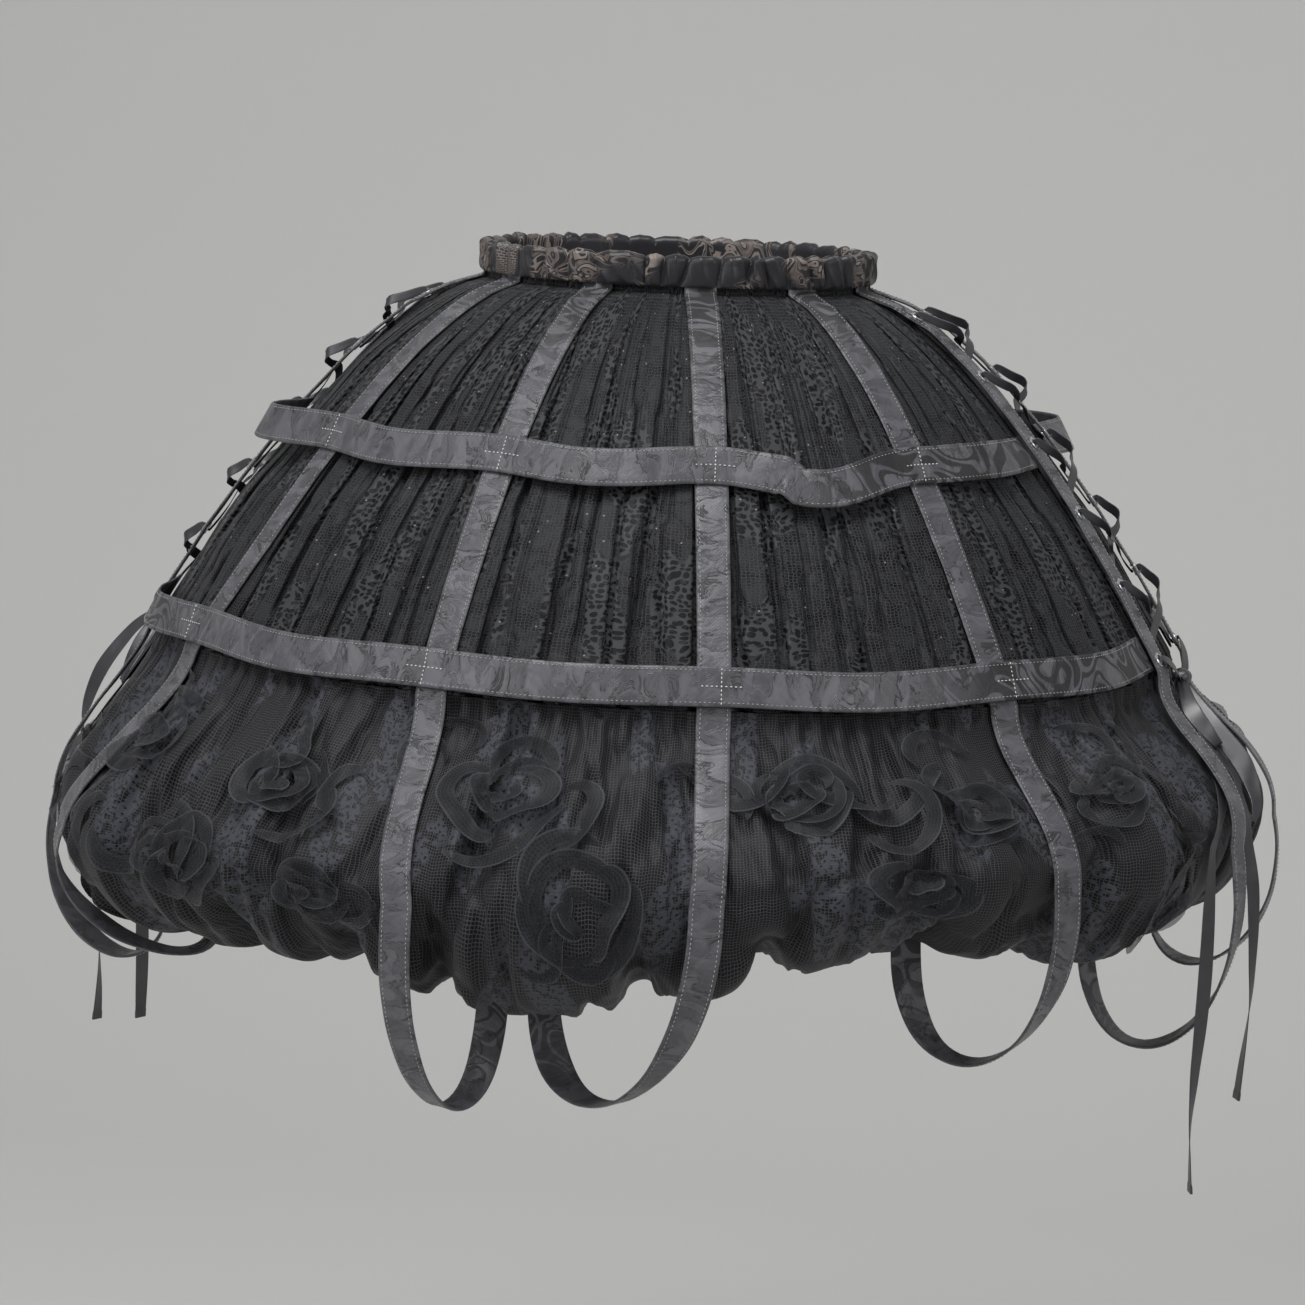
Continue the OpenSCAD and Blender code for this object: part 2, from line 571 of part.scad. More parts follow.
// Bow: knot and two hanging loops
module bow(side) {
    phi = knot_phi(side);
    color("#1a1a1d")
    union() {
        translate(knot_centre(side))
        rotate([90, 0, phi + 90])
        union() {
            cylinder(h = 2*knot_half, r = knot_r, center = true, $fn = 32);
            for (s = [-1, 1])
                translate([0, 0, s*knot_half])
                sphere(r = knot_r, $fn = 32);
        }
        for (loop = bow_ends) {
            spots = [for (k = [0:bow_steps]) let (t = k/bow_steps)
                [phi + loop[0]*smooth(sin(180*t)),
                    bow_start + (loop[1] - bow_start)*sin(180*t),
                    bow_low + bow_gap*(1 - cos(180*t))/2]];
            strip(
                [for (s = spots) tier_at(s[0], s[1], on_tier(s[1]) + s[2])],
                [for (s = spots) tier_round(s[0], s[1])],
                [for (s = spots) ribbon_w/2], ribbon_t);
        }
    }
}

// Tail: free end of the ribbon, hanging over the tier from under the knot
module tail(route) {
    middle = route[len(route) - 1];
    side = unit(cross([middle[0], middle[1], 0], [0, 0, -1]));
    color("#18181b")
    strip(route, [for (p = route) side], [for (p = route) ribbon_w/2], ribbon_t);
}

module tail_for(side, end) {
    if (side == "right")
        tail(end == "long" ? tail_right_long : tail_right_short);
    else
        tail(end == "long" ? tail_left_long : tail_left_short);
}

function side_of(side) = side == "right" ? 90 : -90;
function shown(name) = node == "all" || node == name;

// Front strap of the lacing on a side, and the strap of the back half beside it
function eyelet_strap(side, half) = (side == "right") == (half == "front") ? 5 : 0;

if (shown("waist_casing")) waist_casing();
if (shown("waist_elastic")) waist_elastic();
if (shown("lining")) lining();
if (shown("lace_front")) lace(0);
if (shown("lace_back")) lace(180);
if (shown("tier_front")) tier(0);
if (shown("tier_back")) tier(180);
if (shown("rosettes_front")) rosettes("front");
if (shown("rosettes_back")) rosettes("back");
for (half = ["front", "back"], i = STRAPS)
    if (shown(str("strap_", half, "_", i))) strap(half, i - 1);
for (half = ["front", "back"]) {
    if (shown(str("band_", half, "_upper"))) band(half, upper_band_drop, upper_stand, upper_sag);
    if (shown(str("band_", half, "_lower"))) band(half, lower_band_drop, lower_stand, lower_sag);
}
for (side = SIDES, half = ["front", "back"])
    if (shown(str("eyelets_", side, "_", half))) eyelets(half, eyelet_strap(side, half));
for (side = SIDES) {
    if (shown(str("lacing_", side))) lacing(side);
    if (shown(str("bow_", side))) bow(side);
}
for (side = SIDES, end = ["long", "short"])
    if (shown(str("tail_", side, "_", end))) tail_for(side, end);
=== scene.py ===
# Cage skirt: the looks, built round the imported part. Lengths are millimetres in the CAD frame until a mesh is
# made. An angle round the skirt is 0 at the front and 90 at +X, and a drop is measured down from the waist.
import math

import bpy
import numpy as np
from mathutils import Matrix, Vector


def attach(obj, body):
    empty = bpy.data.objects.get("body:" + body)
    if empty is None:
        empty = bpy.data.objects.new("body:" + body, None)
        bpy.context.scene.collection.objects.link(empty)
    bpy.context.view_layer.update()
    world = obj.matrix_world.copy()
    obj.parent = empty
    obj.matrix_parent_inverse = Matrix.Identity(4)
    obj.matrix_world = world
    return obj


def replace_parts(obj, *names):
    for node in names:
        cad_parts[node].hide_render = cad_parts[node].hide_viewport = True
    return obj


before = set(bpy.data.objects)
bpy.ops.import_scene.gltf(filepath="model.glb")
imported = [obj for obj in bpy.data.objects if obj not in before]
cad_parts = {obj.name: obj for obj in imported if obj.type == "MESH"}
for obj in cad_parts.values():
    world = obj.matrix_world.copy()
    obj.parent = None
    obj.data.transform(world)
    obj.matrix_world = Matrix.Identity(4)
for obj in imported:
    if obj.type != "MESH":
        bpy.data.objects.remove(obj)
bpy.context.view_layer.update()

# Waist casing: a tube of brocade ruched on elastic, with brown metallic scrolls beside plain black satin.
# The cloth is folded over the elastic and sewn below it, so it puckers into short upright gathers.
MM = 0.001
WAIST_HALF_W, WAIST_HALF_D = 114.0, 88.0
CASING_HALF, CASING_LOW, CASING_OUT, CASING_GATHER = 11.0, 8.2, 6.4, 6.6
ROLL_OUT, ROLL_UP, ROLL_W, ROLL_H = 3.5, 5.2, 2.9, 4.0
PUFF_DEGREES, PUFF_UP = (4.6, 11.5), 3.8
CASING_A_DEGREE, CASING_A_LINE = 2.9, 1.25
BROCADE_BLACK, BROCADE_BROWN, BROCADE_GLINT = "#242327", "#594f4a", "#857b75"


def linear(hex_colour):
    """Linear RGBA of an sRGB hex colour."""
    parts = [int(hex_colour[i:i + 2], 16)/255 for i in (1, 3, 5)]
    return tuple(c/12.92 if c <= 0.04045 else ((c + 0.055)/1.055)**2.4 for c in parts) + (1.0,)


def every(mm, unit=1.0):
    """Scale of a pattern that repeats every so many millimetres, to the nearest whole number."""
    return round(unit/(mm*MM))


def join(node, sockets):
    """Feeds a node's sockets from other nodes, each by its first output in use, or sets values and hex colours."""
    for socket, source in sockets.items():
        if isinstance(source, bpy.types.Node):
            source = next(output for output in source.outputs if output.enabled)
        if isinstance(source, bpy.types.NodeSocket):
            node.id_data.links.new(source, node.inputs[socket])
        else:
            node.inputs[socket].default_value = linear(source) if isinstance(source, str) else source


# Textures lie on flat cloth and mixes are of colours, unless a call says otherwise
USUAL = {"TexNoise": {"noise_dimensions": "2D"}, "TexVoronoi": {"voronoi_dimensions": "2D"},
         "Mix": {"data_type": "RGBA"}}


def add(tree, kind, sockets=(), stops=(), **settings):
    """New shader node with its settings, its sockets' feeds or values, and a ramp's stops of place and level."""
    node = tree.nodes.new("ShaderNode" + kind)
    for name, value in {**USUAL.get(kind, {}), **settings}.items():
        setattr(node, name, value)
    if stops:
        elements = node.color_ramp.elements
        while len(elements) < len(stops):
            elements.new(1.0)
        for element, (at, level) in zip(elements, stops):
            element.position, element.color = at, (level, level, level, 1)
    join(node, dict(sockets))
    return node


def new_material(name, **values):
    """Material with its node tree and principled shader, whose constant sockets are set from values."""
    material = bpy.data.materials.new(name)
    material.use_nodes = True
    tree = material.node_tree
    shader = tree.nodes["Principled BSDF"]
    join(shader, {socket.replace("_", " "): value for socket, value in values.items()})
    return material, tree, shader


def wander(phi, drop, seed, waves, fall=60.0):
    """Smooth unevenness from -1 to 1 that closes round the skirt."""
    draw = np.random.default_rng(seed)
    total = 0.0
    for wave in waves:
        start, slant = draw.uniform(0, 2*math.pi), draw.uniform(-1, 1)
        total = total + np.sin(np.radians(wave*phi) + start + slant*drop/fall)
    return total/len(waves)


def gather(phi, count, shift):
    """Folds with round crests and sharp valleys, from -1 to 1."""
    return 2*np.abs(np.cos(np.radians(count*phi/2) + shift))**0.6 - 1


def dress(name, mesh, material):
    """Object from a mesh, with its material, riding on the part's one body."""
    mesh.shade_smooth()
    mesh.materials.append(material)
    piece = bpy.data.objects.new(name, mesh)
    bpy.context.scene.collection.objects.link(piece)
    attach(piece, "root")
    return piece


def cloth(name, grids, material):
    """Piece from grids of points in mm, rows down and columns round, each with its uv in metres of cloth."""
    corners = [(slice(None, -1), slice(None, -1)), (slice(1, None), slice(None, -1)),
               (slice(1, None), slice(1, None)), (slice(None, -1), slice(1, None))]
    points, quads, corner_uv, start = [], [], [], 0
    for place, uv in grids:
        index = start + np.arange(place.shape[0]*place.shape[1]).reshape(place.shape[:2])
        quads.append(np.stack([index[c] for c in corners], axis=-1).reshape(-1, 4))
        corner_uv.append(np.stack([uv[c] for c in corners], axis=-2).reshape(-1, 2))
        points.append(place.reshape(-1, 3))
        start += index.size
    mesh = bpy.data.meshes.new(name)
    mesh.from_pydata((np.concatenate(points)*MM).tolist(), [], np.concatenate(quads).tolist())
    mesh.uv_layers.new(name="cloth").data.foreach_set("uv", np.concatenate(corner_uv).ravel())
    return dress(name, mesh, material)


def round_waist(phi, out, z):
    """Point at a distance out from the waist opening."""
    turn = np.radians(phi)
    return np.stack([(WAIST_HALF_W + out)*np.sin(turn), -(WAIST_HALF_D + out)*np.cos(turn), z + 0*turn], axis=-1)


# Brocade gives the eye a black satin ground with broad brown curls on some of the puffs, edged with paler thread,
# and a few small checks of silver thread.
brocade, tree, shader = new_material("polyester brocade", Sheen_Weight=0.05, Specular_IOR_Level=0.4)
place = add(tree, "UVMap", uv_map="cloth")
panel_run = add(tree, "Mapping", {"Vector": place, "Scale": (every(67), every(167), 0)})
panel = add(tree, "TexNoise", {"Vector": panel_run, "Scale": 1.0, "Detail": 0.0})
figured = add(tree, "ValToRGB", {0: panel}, ((0.5, 0), (0.54, 1)))
scroll = add(tree, "TexNoise", {"Vector": place, "Scale": every(24), "Detail": 0.6, "Distortion": 1.8})
curl = add(tree, "ValToRGB", {0: scroll}, ((0.4, 0), (0.42, 1), (0.5, 1), (0.52, 0),
                                           (0.58, 0), (0.6, 1), (0.66, 1), (0.68, 0)))
edging = add(tree, "ValToRGB", {0: scroll}, ((0.41, 0.8), (0.435, 0), (0.485, 0), (0.51, 0.8)))
check = add(tree, "TexBrick", {"Vector": place, "Scale": every(7.7), "Mortar Size": 0.05})
silver = add(tree, "ValToRGB", {0: panel}, ((0.25, 0.7), (0.27, 0)))
silver = add(tree, "Math", {0: silver, 1: check.outputs["Fac"]}, operation="MULTIPLY")
woven = add(tree, "Math", {0: figured, 1: curl}, operation="MULTIPLY")
gold = add(tree, "Mix", {0: edging, 6: BROCADE_BROWN, 7: BROCADE_GLINT})
shade = add(tree, "Mix", {0: woven, 7: gold, 6: BROCADE_BLACK})
shade = add(tree, "Mix", {0: silver, 6: shade, 7: BROCADE_GLINT})
gloss = add(tree, "MapRange", {"Value": woven, "To Min": 0.34, "To Max": 0.5})
relief = add(tree, "Bump", {"Height": woven, "Strength": 0.3, "Distance": 0.4*MM})
join(shader, {"Base Color": shade, "Roughness": gloss, "Normal": relief})

columns = np.arange(0, 360.1, 0.25)
draw = np.random.default_rng(3)
creases = np.cumsum(draw.uniform(*PUFF_DEGREES, 70))
creases = creases[creases < 350]
slants, sizes = draw.uniform(-1.6, 1.6, len(creases)), draw.uniform(0.55, 1.0, len(creases) + 1)
# Each line of the section: distance out, height, and the shares of a puff that push it out and up
section = [(CASING_OUT, z*(CASING_LOW if z < 0 else CASING_HALF), 0.5 + 0.5*(1 - z*z)**0.5, max(0, z))
           for z in np.linspace(-1, 0.45, 18)]
for a in np.concatenate([np.linspace(0.15, 1.6, 10), np.linspace(1.7, 3, 8)]):
    wide = 0.6 + 0.4*math.cos(a) if a < 1.65 else 0.6*(1 - math.sin(a - 1.57))
    section.append((ROLL_OUT + ROLL_W*math.cos(a), ROLL_UP + ROLL_H*math.sin(a), wide, 1))
section += [(ROLL_OUT - ROLL_W, z, 0.0, 0.0) for z in np.linspace(CASING_HALF/2, -CASING_LOW, 10)]
rows = []
for out, z, wide, tall in section:
    edges = np.concatenate([[0], creases + slants*z/CASING_HALF, [360]])
    puff = np.clip(np.searchsorted(edges, columns, side="right") - 1, 0, len(sizes) - 1)
    share = np.clip((columns - edges[puff])/(edges[puff + 1] - edges[puff]), 0, 1)
    swell = sizes[puff]*np.sin(np.pi*share)**0.6*(1 - 0.16*np.abs(np.sin(2.5*np.pi*share + 0.2*z + puff)))
    rows.append(round_waist(columns, out + wide*(CASING_GATHER*swell - 1), z + tall*(PUFF_UP*swell - 0.6)))
uv = np.stack(np.meshgrid(columns*CASING_A_DEGREE, np.arange(len(section))*CASING_A_LINE), axis=-1)*MM
casing = cloth("waist_casing_brocade", [(np.array(rows), uv)], brocade)
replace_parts(casing, "waist_casing")

# Elastic: a flat band, woven with rubber threads and sewn into a ring inside the casing. The CAD solid stays.
# Woven elastic gives the eye a dull off-white with ribs about 1 mm apart along its length.
ELASTIC = "#d9d8d2"
# Share of its unit after which a wave texture repeats
WAVE = math.pi/10


def recoat(node, material):
    """Gives a CAD solid that stays its material."""
    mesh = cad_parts[node].data
    mesh.materials.clear()
    mesh.materials.append(material)


elastic, tree, shader = new_material("woven elastic", Base_Color=ELASTIC, Roughness=0.7)
place = add(tree, "TexCoord")
rib = add(tree, "TexWave", {"Vector": place.outputs["Object"], "Scale": every(0.982, WAVE)}, bands_direction="Z")
relief = add(tree, "Bump", {"Height": rib, "Strength": 0.5, "Distance": 0.3*MM})
join(shader, {"Normal": relief})
recoat("waist_elastic", elastic)

# Lining: a plain black cone of polyester taffeta from the casing to the turned-under hem, with soft flutes.
# It shows through the lace as a dark ground, and from below as the inside of the skirt.
FREE_TOP, TUCK_DROP = 12.5, 7.0
LINING_IN, LINING_FLARE = 1.8, 0.8
LINING_LOW, LINING_LOW_W, LINING_LOW_D = 362.5, 285.0, 260.0
FLUTE, FLUTE_FROM, FLUTE_OVER = 5.0, 60.0, 250.0
LINING_A_DEGREE, LINING_A_DROP = 4.6, 1.2
TAFFETA = "#0d0d0f"


def blend(a, b, share):
    """Mix of two values."""
    return a + (b - a)*share


def cone(phi, drop, inset, low, low_w, low_d, flare, out):
    """Point on a cone of cloth that hangs from the waist."""
    share = np.clip((drop - FREE_TOP)/(low - FREE_TOP), 0, 1)**flare
    turn = np.radians(phi)
    width = blend(WAIST_HALF_W + inset, low_w, share) + out
    depth = blend(WAIST_HALF_D + inset, low_d, share) + out
    return np.stack([width*np.sin(turn), -depth*np.cos(turn), -drop + 0*turn], axis=-1)


# Taffeta gives the eye a flat black with a faint crisp weave.
taffeta, tree, shader = new_material("polyester taffeta", Base_Color=TAFFETA, Roughness=0.6,
                                     Specular_IOR_Level=0.25)
place = add(tree, "UVMap", uv_map="cloth")
weave = add(tree, "TexWave", {"Vector": place, "Scale": every(0.628, WAVE), "Distortion": 2.0})
relief = add(tree, "Bump", {"Height": weave, "Strength": 0.15, "Distance": 0.2*MM})
join(shader, {"Normal": relief})
columns = np.arange(0, 360.5, 1.0)
drops = np.concatenate([[TUCK_DROP], np.linspace(FREE_TOP, LINING_LOW, 36)])
phi, drop = np.meshgrid(columns, drops)
flute = FLUTE*np.clip((drop - FLUTE_FROM)/FLUTE_OVER, 0, 1)*(wander(phi, drop, 12, (17, 23, 31), 400) - 0.4)
points = cone(phi, drop, LINING_IN, LINING_LOW, LINING_LOW_W, LINING_LOW_D, LINING_FLARE, flute)
uv = np.stack(np.meshgrid(columns*LINING_A_DEGREE, drops*LINING_A_DROP), axis=-1)*MM
lining = cloth("lining_taffeta", [(points, uv)], taffeta)
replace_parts(lining, "lining")

# Lace overskirt: two gathered panels of black floral lace, front and back, sewn into the casing and to the tier.
# They are settled as one net of cloth, cut wider than its room, so that it folds between its two seams.
LACE_IN, LACE_T = 3.4, 1.0
SEAM_DROP, SEAM_HALF_W, SEAM_HALF_D, FLARE = 230.0, 314.0, 287.0, 0.68
LACE_FOLD_TOP, LACE_FOLD, LACE_RISE = 0.3, 4.0, 70.0
LACE_BULGE, LACE_VALLEY, LACE_FULL = 4.0, 17.0, 1.85
UPPER_BAND_DROP, LOWER_BAND_DROP = 101.0, 216.0
BUBBLE_DROP = 335.0
STRAP_STEP, STRAP_SHIFT, DRIFT_POWER, STRAP_CLEAR = 32.5, (0, 0, 2, 0, 0, 0), 4, 11.0
# Depth of each strap's hem loop, its swing and bulge, and the strap's drift to the side, in mm and degrees
LOOPS = {"front": ((50, 12, 14, 0), (20, 15, 14, -14), (67, 5, 12, 3), (57, -16, 12, -1), (38, -10, 10, 0),
                   (48, -7, 16, -7)),
         "back": ((25, 5, 14, -7), (40, 10, 12, 0), (55, 8, 12, 0), (55, -10, 12, 0), (40, -10, 12, 0),
                  (35, -10, 14, 0))}
MIDDLES = {"front": 0.0, "back": 180.0}
LACE_HOLE, LACE_SOLID, LACE_CORD, LACE_TINSEL = "#030304", "#393a3d", "#47474b", "#858279"


def ease(share):
    """Smooth step from 0 to 1."""
    share = np.clip(share, 0, 1)
    return share*share*(3 - 2*share)


def lace_depth(drop):
    """How far a fold of the lace may stand out before it meets the straps."""
    rise = np.sin(np.pi/2*np.clip((drop - FREE_TOP)/LACE_RISE, 0, 1))
    return LACE_FOLD_TOP + (LACE_FOLD - LACE_FOLD_TOP)*rise*(1 - 0.4*(drop/SEAM_DROP)**2)


def lace_at(phi, drop, out):
    """Point on the middle of the lace, moved out level."""
    return cone(phi, drop, LACE_IN, SEAM_DROP, SEAM_HALF_W, SEAM_HALF_D, FLARE, out)


def strap_phi(half, number, drop):
    """Angle of a strap at a drop: straps drift sideways towards the hem."""
    drift = LOOPS[half][number][3]*(np.minimum(drop, BUBBLE_DROP)/BUBBLE_DROP)**DRIFT_POWER
    return MIDDLES[half] + (number - 2.5)*STRAP_STEP + STRAP_SHIFT[number] + drift


def strap_gap(phi, drop, mm_per_degree):
    """Distance round the skirt to the middle of the nearest strap."""
    near = np.full(np.broadcast(phi, drop).shape, 1e9)
    for half in LOOPS:
        for number in range(6):
            off = (phi - strap_phi(half, number, drop) + 180) % 360 - 180
            near = np.minimum(near, np.abs(off)*mm_per_degree)
    return near


def settle(step_round, step_down, fullness, start, low, high, push, sag, steps, stiff):
    """Moves of a net of cloth, round, down and out, that folds because each row is cut longer than its room.
    Its first and last rows stay as they start, and low and high hold it in between."""
    rows, cols = start.shape
    moved = np.zeros((rows, cols, 3))
    moved[..., 2] = start
    pins = moved[[0, -1]].copy()
    # Pairs of points: columns and rows between them, then the least and the most share of their cloth's length
    pairs = ((1, 0, 1, 1), (2, 0, stiff + 0.14, 9), (4, 0, stiff, 9), (0, 1, 1, 1), (0, 2, 0.975, 9),
             (1, 1, 0, 1), (-1, 1, 0, 1))
    for count in range(steps):
        grown = 1 + (fullness - 1)*min(1, 1.6*count/steps)
        for across, down, least, most in pairs:
            last = rows - down
            gap = np.roll(moved, -across, axis=1)[down:] - moved[:last]
            gap[..., 0] += step_round[:last]*across
            gap[..., 1] += step_down*down
            length = np.sqrt(np.einsum("ijk,ijk->ij", gap, gap)) + 1e-9
            rest = np.hypot(step_round[:last]*across*grown[:last], step_down*down)
            gap *= (0.25*(length - np.clip(length, least*rest, most*rest))/length)[..., None]
            moved[:last] += gap
            moved[down:] -= np.roll(gap, across, axis=1)
        moved[..., 1] += sag
        moved[..., 2] = np.clip(moved[..., 2] + push, low, high)
        moved[[0, -1]] = pins
    return moved


def ring_angles(columns):
    """Angles of the columns of a ring, from -90 degrees."""
    return -90 + np.arange(columns)*360/columns


def finer(field):
    """Ring of values with a smooth new column between each two."""
    after = np.roll(field, -1, axis=1)
    between = (9*(field + after) - np.roll(field, 1, axis=1) - np.roll(field, -2, axis=1))/16
    return np.stack([field, between], axis=2).reshape(field.shape[0], -1, *field.shape[2:])


def two_halves(ring):
    """Front and back half of a ring of columns that starts at -90 degrees, with their edges shared."""
    half = ring.shape[1]//2
    return {"front": ring[:, :half + 1], "back": np.concatenate([ring[:, half:], ring[:, :1]], axis=1)}


def cloth_uv(rows, cols, wide, tall):
    """uv of half a ring of cloth, in metres, from its flat width and its length in mm."""
    return np.stack(np.meshgrid(np.linspace(0, wide, cols), np.linspace(0, tall, rows)), axis=-1)*MM


# Nylon lace gives the eye a fine dark net with columns of larger holes, dense leaves between them and a rare
# glint of tinsel. Its net is drawn about twice as coarse as the real one, to show.
lace, tree, shader = new_material("nylon lace", Roughness=0.5, Specular_IOR_Level=0.16, Sheen_Weight=0.04)
place = add(tree, "UVMap", uv_map="cloth")
bend = add(tree, "TexNoise", {"Vector": place, "Scale": every(16.7), "Detail": 1.0})
bent = add(tree, "VectorMath", {0: bend.outputs["Color"], 2: place, 1: (0.01, 0.01, 0.0)},
           operation="MULTIPLY_ADD")
net = add(tree, "TexVoronoi", {"Vector": place, "Scale": every(2.128), "Randomness": 0.5}, feature="DISTANCE_TO_EDGE")
strand = add(tree, "ValToRGB", {0: net}, ((0.06, 1), (0.16, 0)))
holes = add(tree, "TexVoronoi", {"Vector": bent, "Scale": every(4), "Randomness": 0.6})
rim = add(tree, "ValToRGB", {0: holes.outputs["Distance"]}, ((0.34, 0), (0.42, 1)))
column = add(tree, "Mapping", {"Vector": place, "Scale": (every(29.4), every(91), 0)})
column = add(tree, "TexNoise", {"Vector": column, "Scale": 1.0, "Detail": 1.0})
cluster = add(tree, "ValToRGB", {0: column}, ((0.52, 0), (0.55, 1)))
leaf = add(tree, "TexNoise", {"Vector": bent, "Scale": every(11.8), "Detail": 2.0, "Distortion": 0.6})
vein = add(tree, "ValToRGB", {0: leaf}, ((0.43, 0), (0.47, 0.35), (0.51, 0)))
leaf = add(tree, "ValToRGB", {0: leaf}, ((0.47, 0), (0.62, 0.4)))
solid = add(tree, "Math", {0: strand, 1: leaf}, operation="MAXIMUM")
solid = add(tree, "Mix", {0: cluster, 2: solid, 3: rim}, data_type="FLOAT")
shade = add(tree, "Mix", {0: solid, 6: LACE_HOLE, 7: LACE_SOLID})
shade = add(tree, "Mix", {0: vein, 6: shade, 7: LACE_CORD})
dots = add(tree, "TexVoronoi", {"Vector": place, "Scale": every(1.923)})
spark = add(tree, "SeparateColor", {"Color": dots.outputs["Color"]})
spark = add(tree, "Math", {0: spark, 1: 0.994}, operation="GREATER_THAN")
dot = add(tree, "ValToRGB", {0: dots.outputs["Distance"]}, ((0.2, 1), (0.34, 0)))
spark = add(tree, "Math", {0: spark, 1: dot}, operation="MULTIPLY")
shade = add(tree, "Mix", {0: spark, 6: shade, 7: LACE_TINSEL})
relief = add(tree, "Bump", {"Height": solid, "Strength": 0.5, "Distance": 0.6*MM})
join(shader, {"Base Color": shade, "Normal": relief})

LACE_COLUMNS, LACE_ROWS = 720, 60
LACE_FLAT_W, LACE_FLAT_L = 2300.0, 300.0
angles = ring_angles(LACE_COLUMNS)
drops = np.linspace(FREE_TOP, SEAM_DROP, LACE_ROWS)
phi, drop = np.meshgrid(angles, drops)
share = (drop - FREE_TOP)/(SEAM_DROP - FREE_TOP)
radius = (lace_at(90.0, drops, 0)[:, 0] - lace_at(0.0, drops, 0)[:, 1])/2
step_round = (radius*2*np.pi/LACE_COLUMNS)[:, None]
degree = step_round*LACE_COLUMNS/360
broad = gather(phi, 48, 2.8*wander(phi, drop, 21, (3, 5, 8, 13), 170))
middle = gather(phi, 104, 1.9*wander(phi, drop, 22, (4, 7, 15), 120))
fine = gather(phi, 236, 1.2*wander(phi, drop, 23, (6, 11, 25), 60))
gathers = (0.7 + 0.4*wander(phi, drop, 24, (9, 14, 23), 200))*broad + 0.45*middle + 0.35*(1 - share)*fine
free = ease((strap_gap(phi, drop, degree) - STRAP_CLEAR)/30)
clear = ease(np.minimum(np.abs(drop - UPPER_BAND_DROP), np.abs(drop - LOWER_BAND_DROP))/30 - 0.5)
high = lace_depth(drop) + LACE_BULGE*free*clear*np.sin(np.pi*share)
low = -1.5 - LACE_VALLEY*np.sin(np.pi*np.clip(share*0.9, 0, 1))**0.6
start = np.where(gathers > 0, gathers*high, np.clip(-1.1*gathers, 0, 1)*low)
moved = settle(step_round, LACE_FLAT_L/LACE_ROWS, LACE_FULL - 0.25*share[:, :1], start, low, high,
               push=0.02, sag=0.02, steps=90, stiff=0.48)
moved = finer(moved)
fine_angles = ring_angles(2*LACE_COLUMNS)
points = lace_at(fine_angles + moved[..., 0]/degree, drops[:, None] + moved[..., 1]*0.75, moved[..., 2])
for half, place in two_halves(points).items():
    tuck = np.array(place[:1]) + [0, 0, FREE_TOP - TUCK_DROP]
    place = np.concatenate([tuck, place])
    uv = cloth_uv(*place.shape[:2], LACE_FLAT_W/2, LACE_FLAT_L)
    panel = cloth(f"lace_{half}_panel", [(place, uv)], lace)
    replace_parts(panel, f"lace_{half}")

# Bubble tier: tulle over floral lace, gathered to the seam above, puffed out and turned under to the lining.
# Two halves, settled as one net of cloth under a little pressure, held by the straps and tacked up along the hem.
BUBBLE_HALF_W, BUBBLE_HALF_D = 371.0, 346.0
HEM_DROP, HEM_LIFT, HEM_TURN, TURN_ANGLE = 390.0, 15.0, 44.0, 150.0
TIER_PUFF, TIER_T, TIER_LENGTH, TIER_FULL = 6.0, 1.8, 127.0, 1.42
TIER_BULGE, TIER_VALLEY, TACK_PULL = 15.0, 21.0, 26.0
CRUSH_OUT, CRUSH_IN = 11.0, 5.5
FIT_GAP = 0.4
# Angles round the hem, and how far it is drawn up there
HEM_RISE = ((-90, -60, -33, -20, -8, 7, 15, 22, 28, 41, 48, 55, 70, 90, 110, 130, 150, 170, 190, 210, 230, 250),
            (5, 12, 20, 19, 0, 0, 8, 18, 27, 26, 16, 10, 6, 5, 10, 20, 6, 15, 2, 18, 8, 12))
TULLE_DARK, TULLE_THREAD, FLORAL = "#030304", "#3c3c40", "#3e3f46"


def tier_section(along, seam, wide):
    """Radius, drop and outward normal of the tier: along is 0 at the seam, 1 at the widest line and 2 inside."""
    start = SEAM_DROP + FIT_GAP
    turn = np.radians((along - 1)*TURN_ANGLE)
    depth = HEM_DROP - BUBBLE_DROP
    upper = along < 1
    radius = np.where(upper, blend(seam, wide, (1 - np.cos(np.pi*along))/2), wide - HEM_TURN*(1 - np.cos(turn)))
    drop = np.where(upper, blend(start, BUBBLE_DROP, along), BUBBLE_DROP + depth*np.sin(turn))
    level = np.where(upper, BUBBLE_DROP - start, depth*np.cos(turn))
    up = np.where(upper, (wide - seam)*np.sin(np.pi*along)*np.pi/2, -HEM_TURN*np.sin(turn))
    size = np.hypot(level, up)
    return radius, drop, level/size, up/size


def tier_at(phi, along, out):
    """Point on the middle of the tier, moved out along its normal."""
    phi, along = np.asarray(phi, float), np.asarray(along, float)
    wide, drop, level, up = tier_section(along, SEAM_HALF_W, BUBBLE_HALF_W)
    deep = tier_section(along, SEAM_HALF_D, BUBBLE_HALF_D)[0]
    turn = np.radians(phi)
    lift = HEM_LIFT*np.sin(turn)*ease(along)
    return np.stack([(wide + out*level)*np.sin(turn), -(deep + out*level)*np.cos(turn), -drop + out*up + lift],
                    axis=-1)


def tier_depth(along):
    """How far a puff of the tier may stand out before it meets the straps."""
    return TIER_PUFF*(0.3 + 0.7*np.sin(np.pi*np.clip(along/1.8, 0, 1)))


def hem_rise(phi, along):
    """How far the hem is drawn up, more in some places than in others."""
    rise = np.interp(phi, *HEM_RISE, period=360)
    return rise*ease((along - 0.7)/0.6)*ease((2 - along)/0.4)


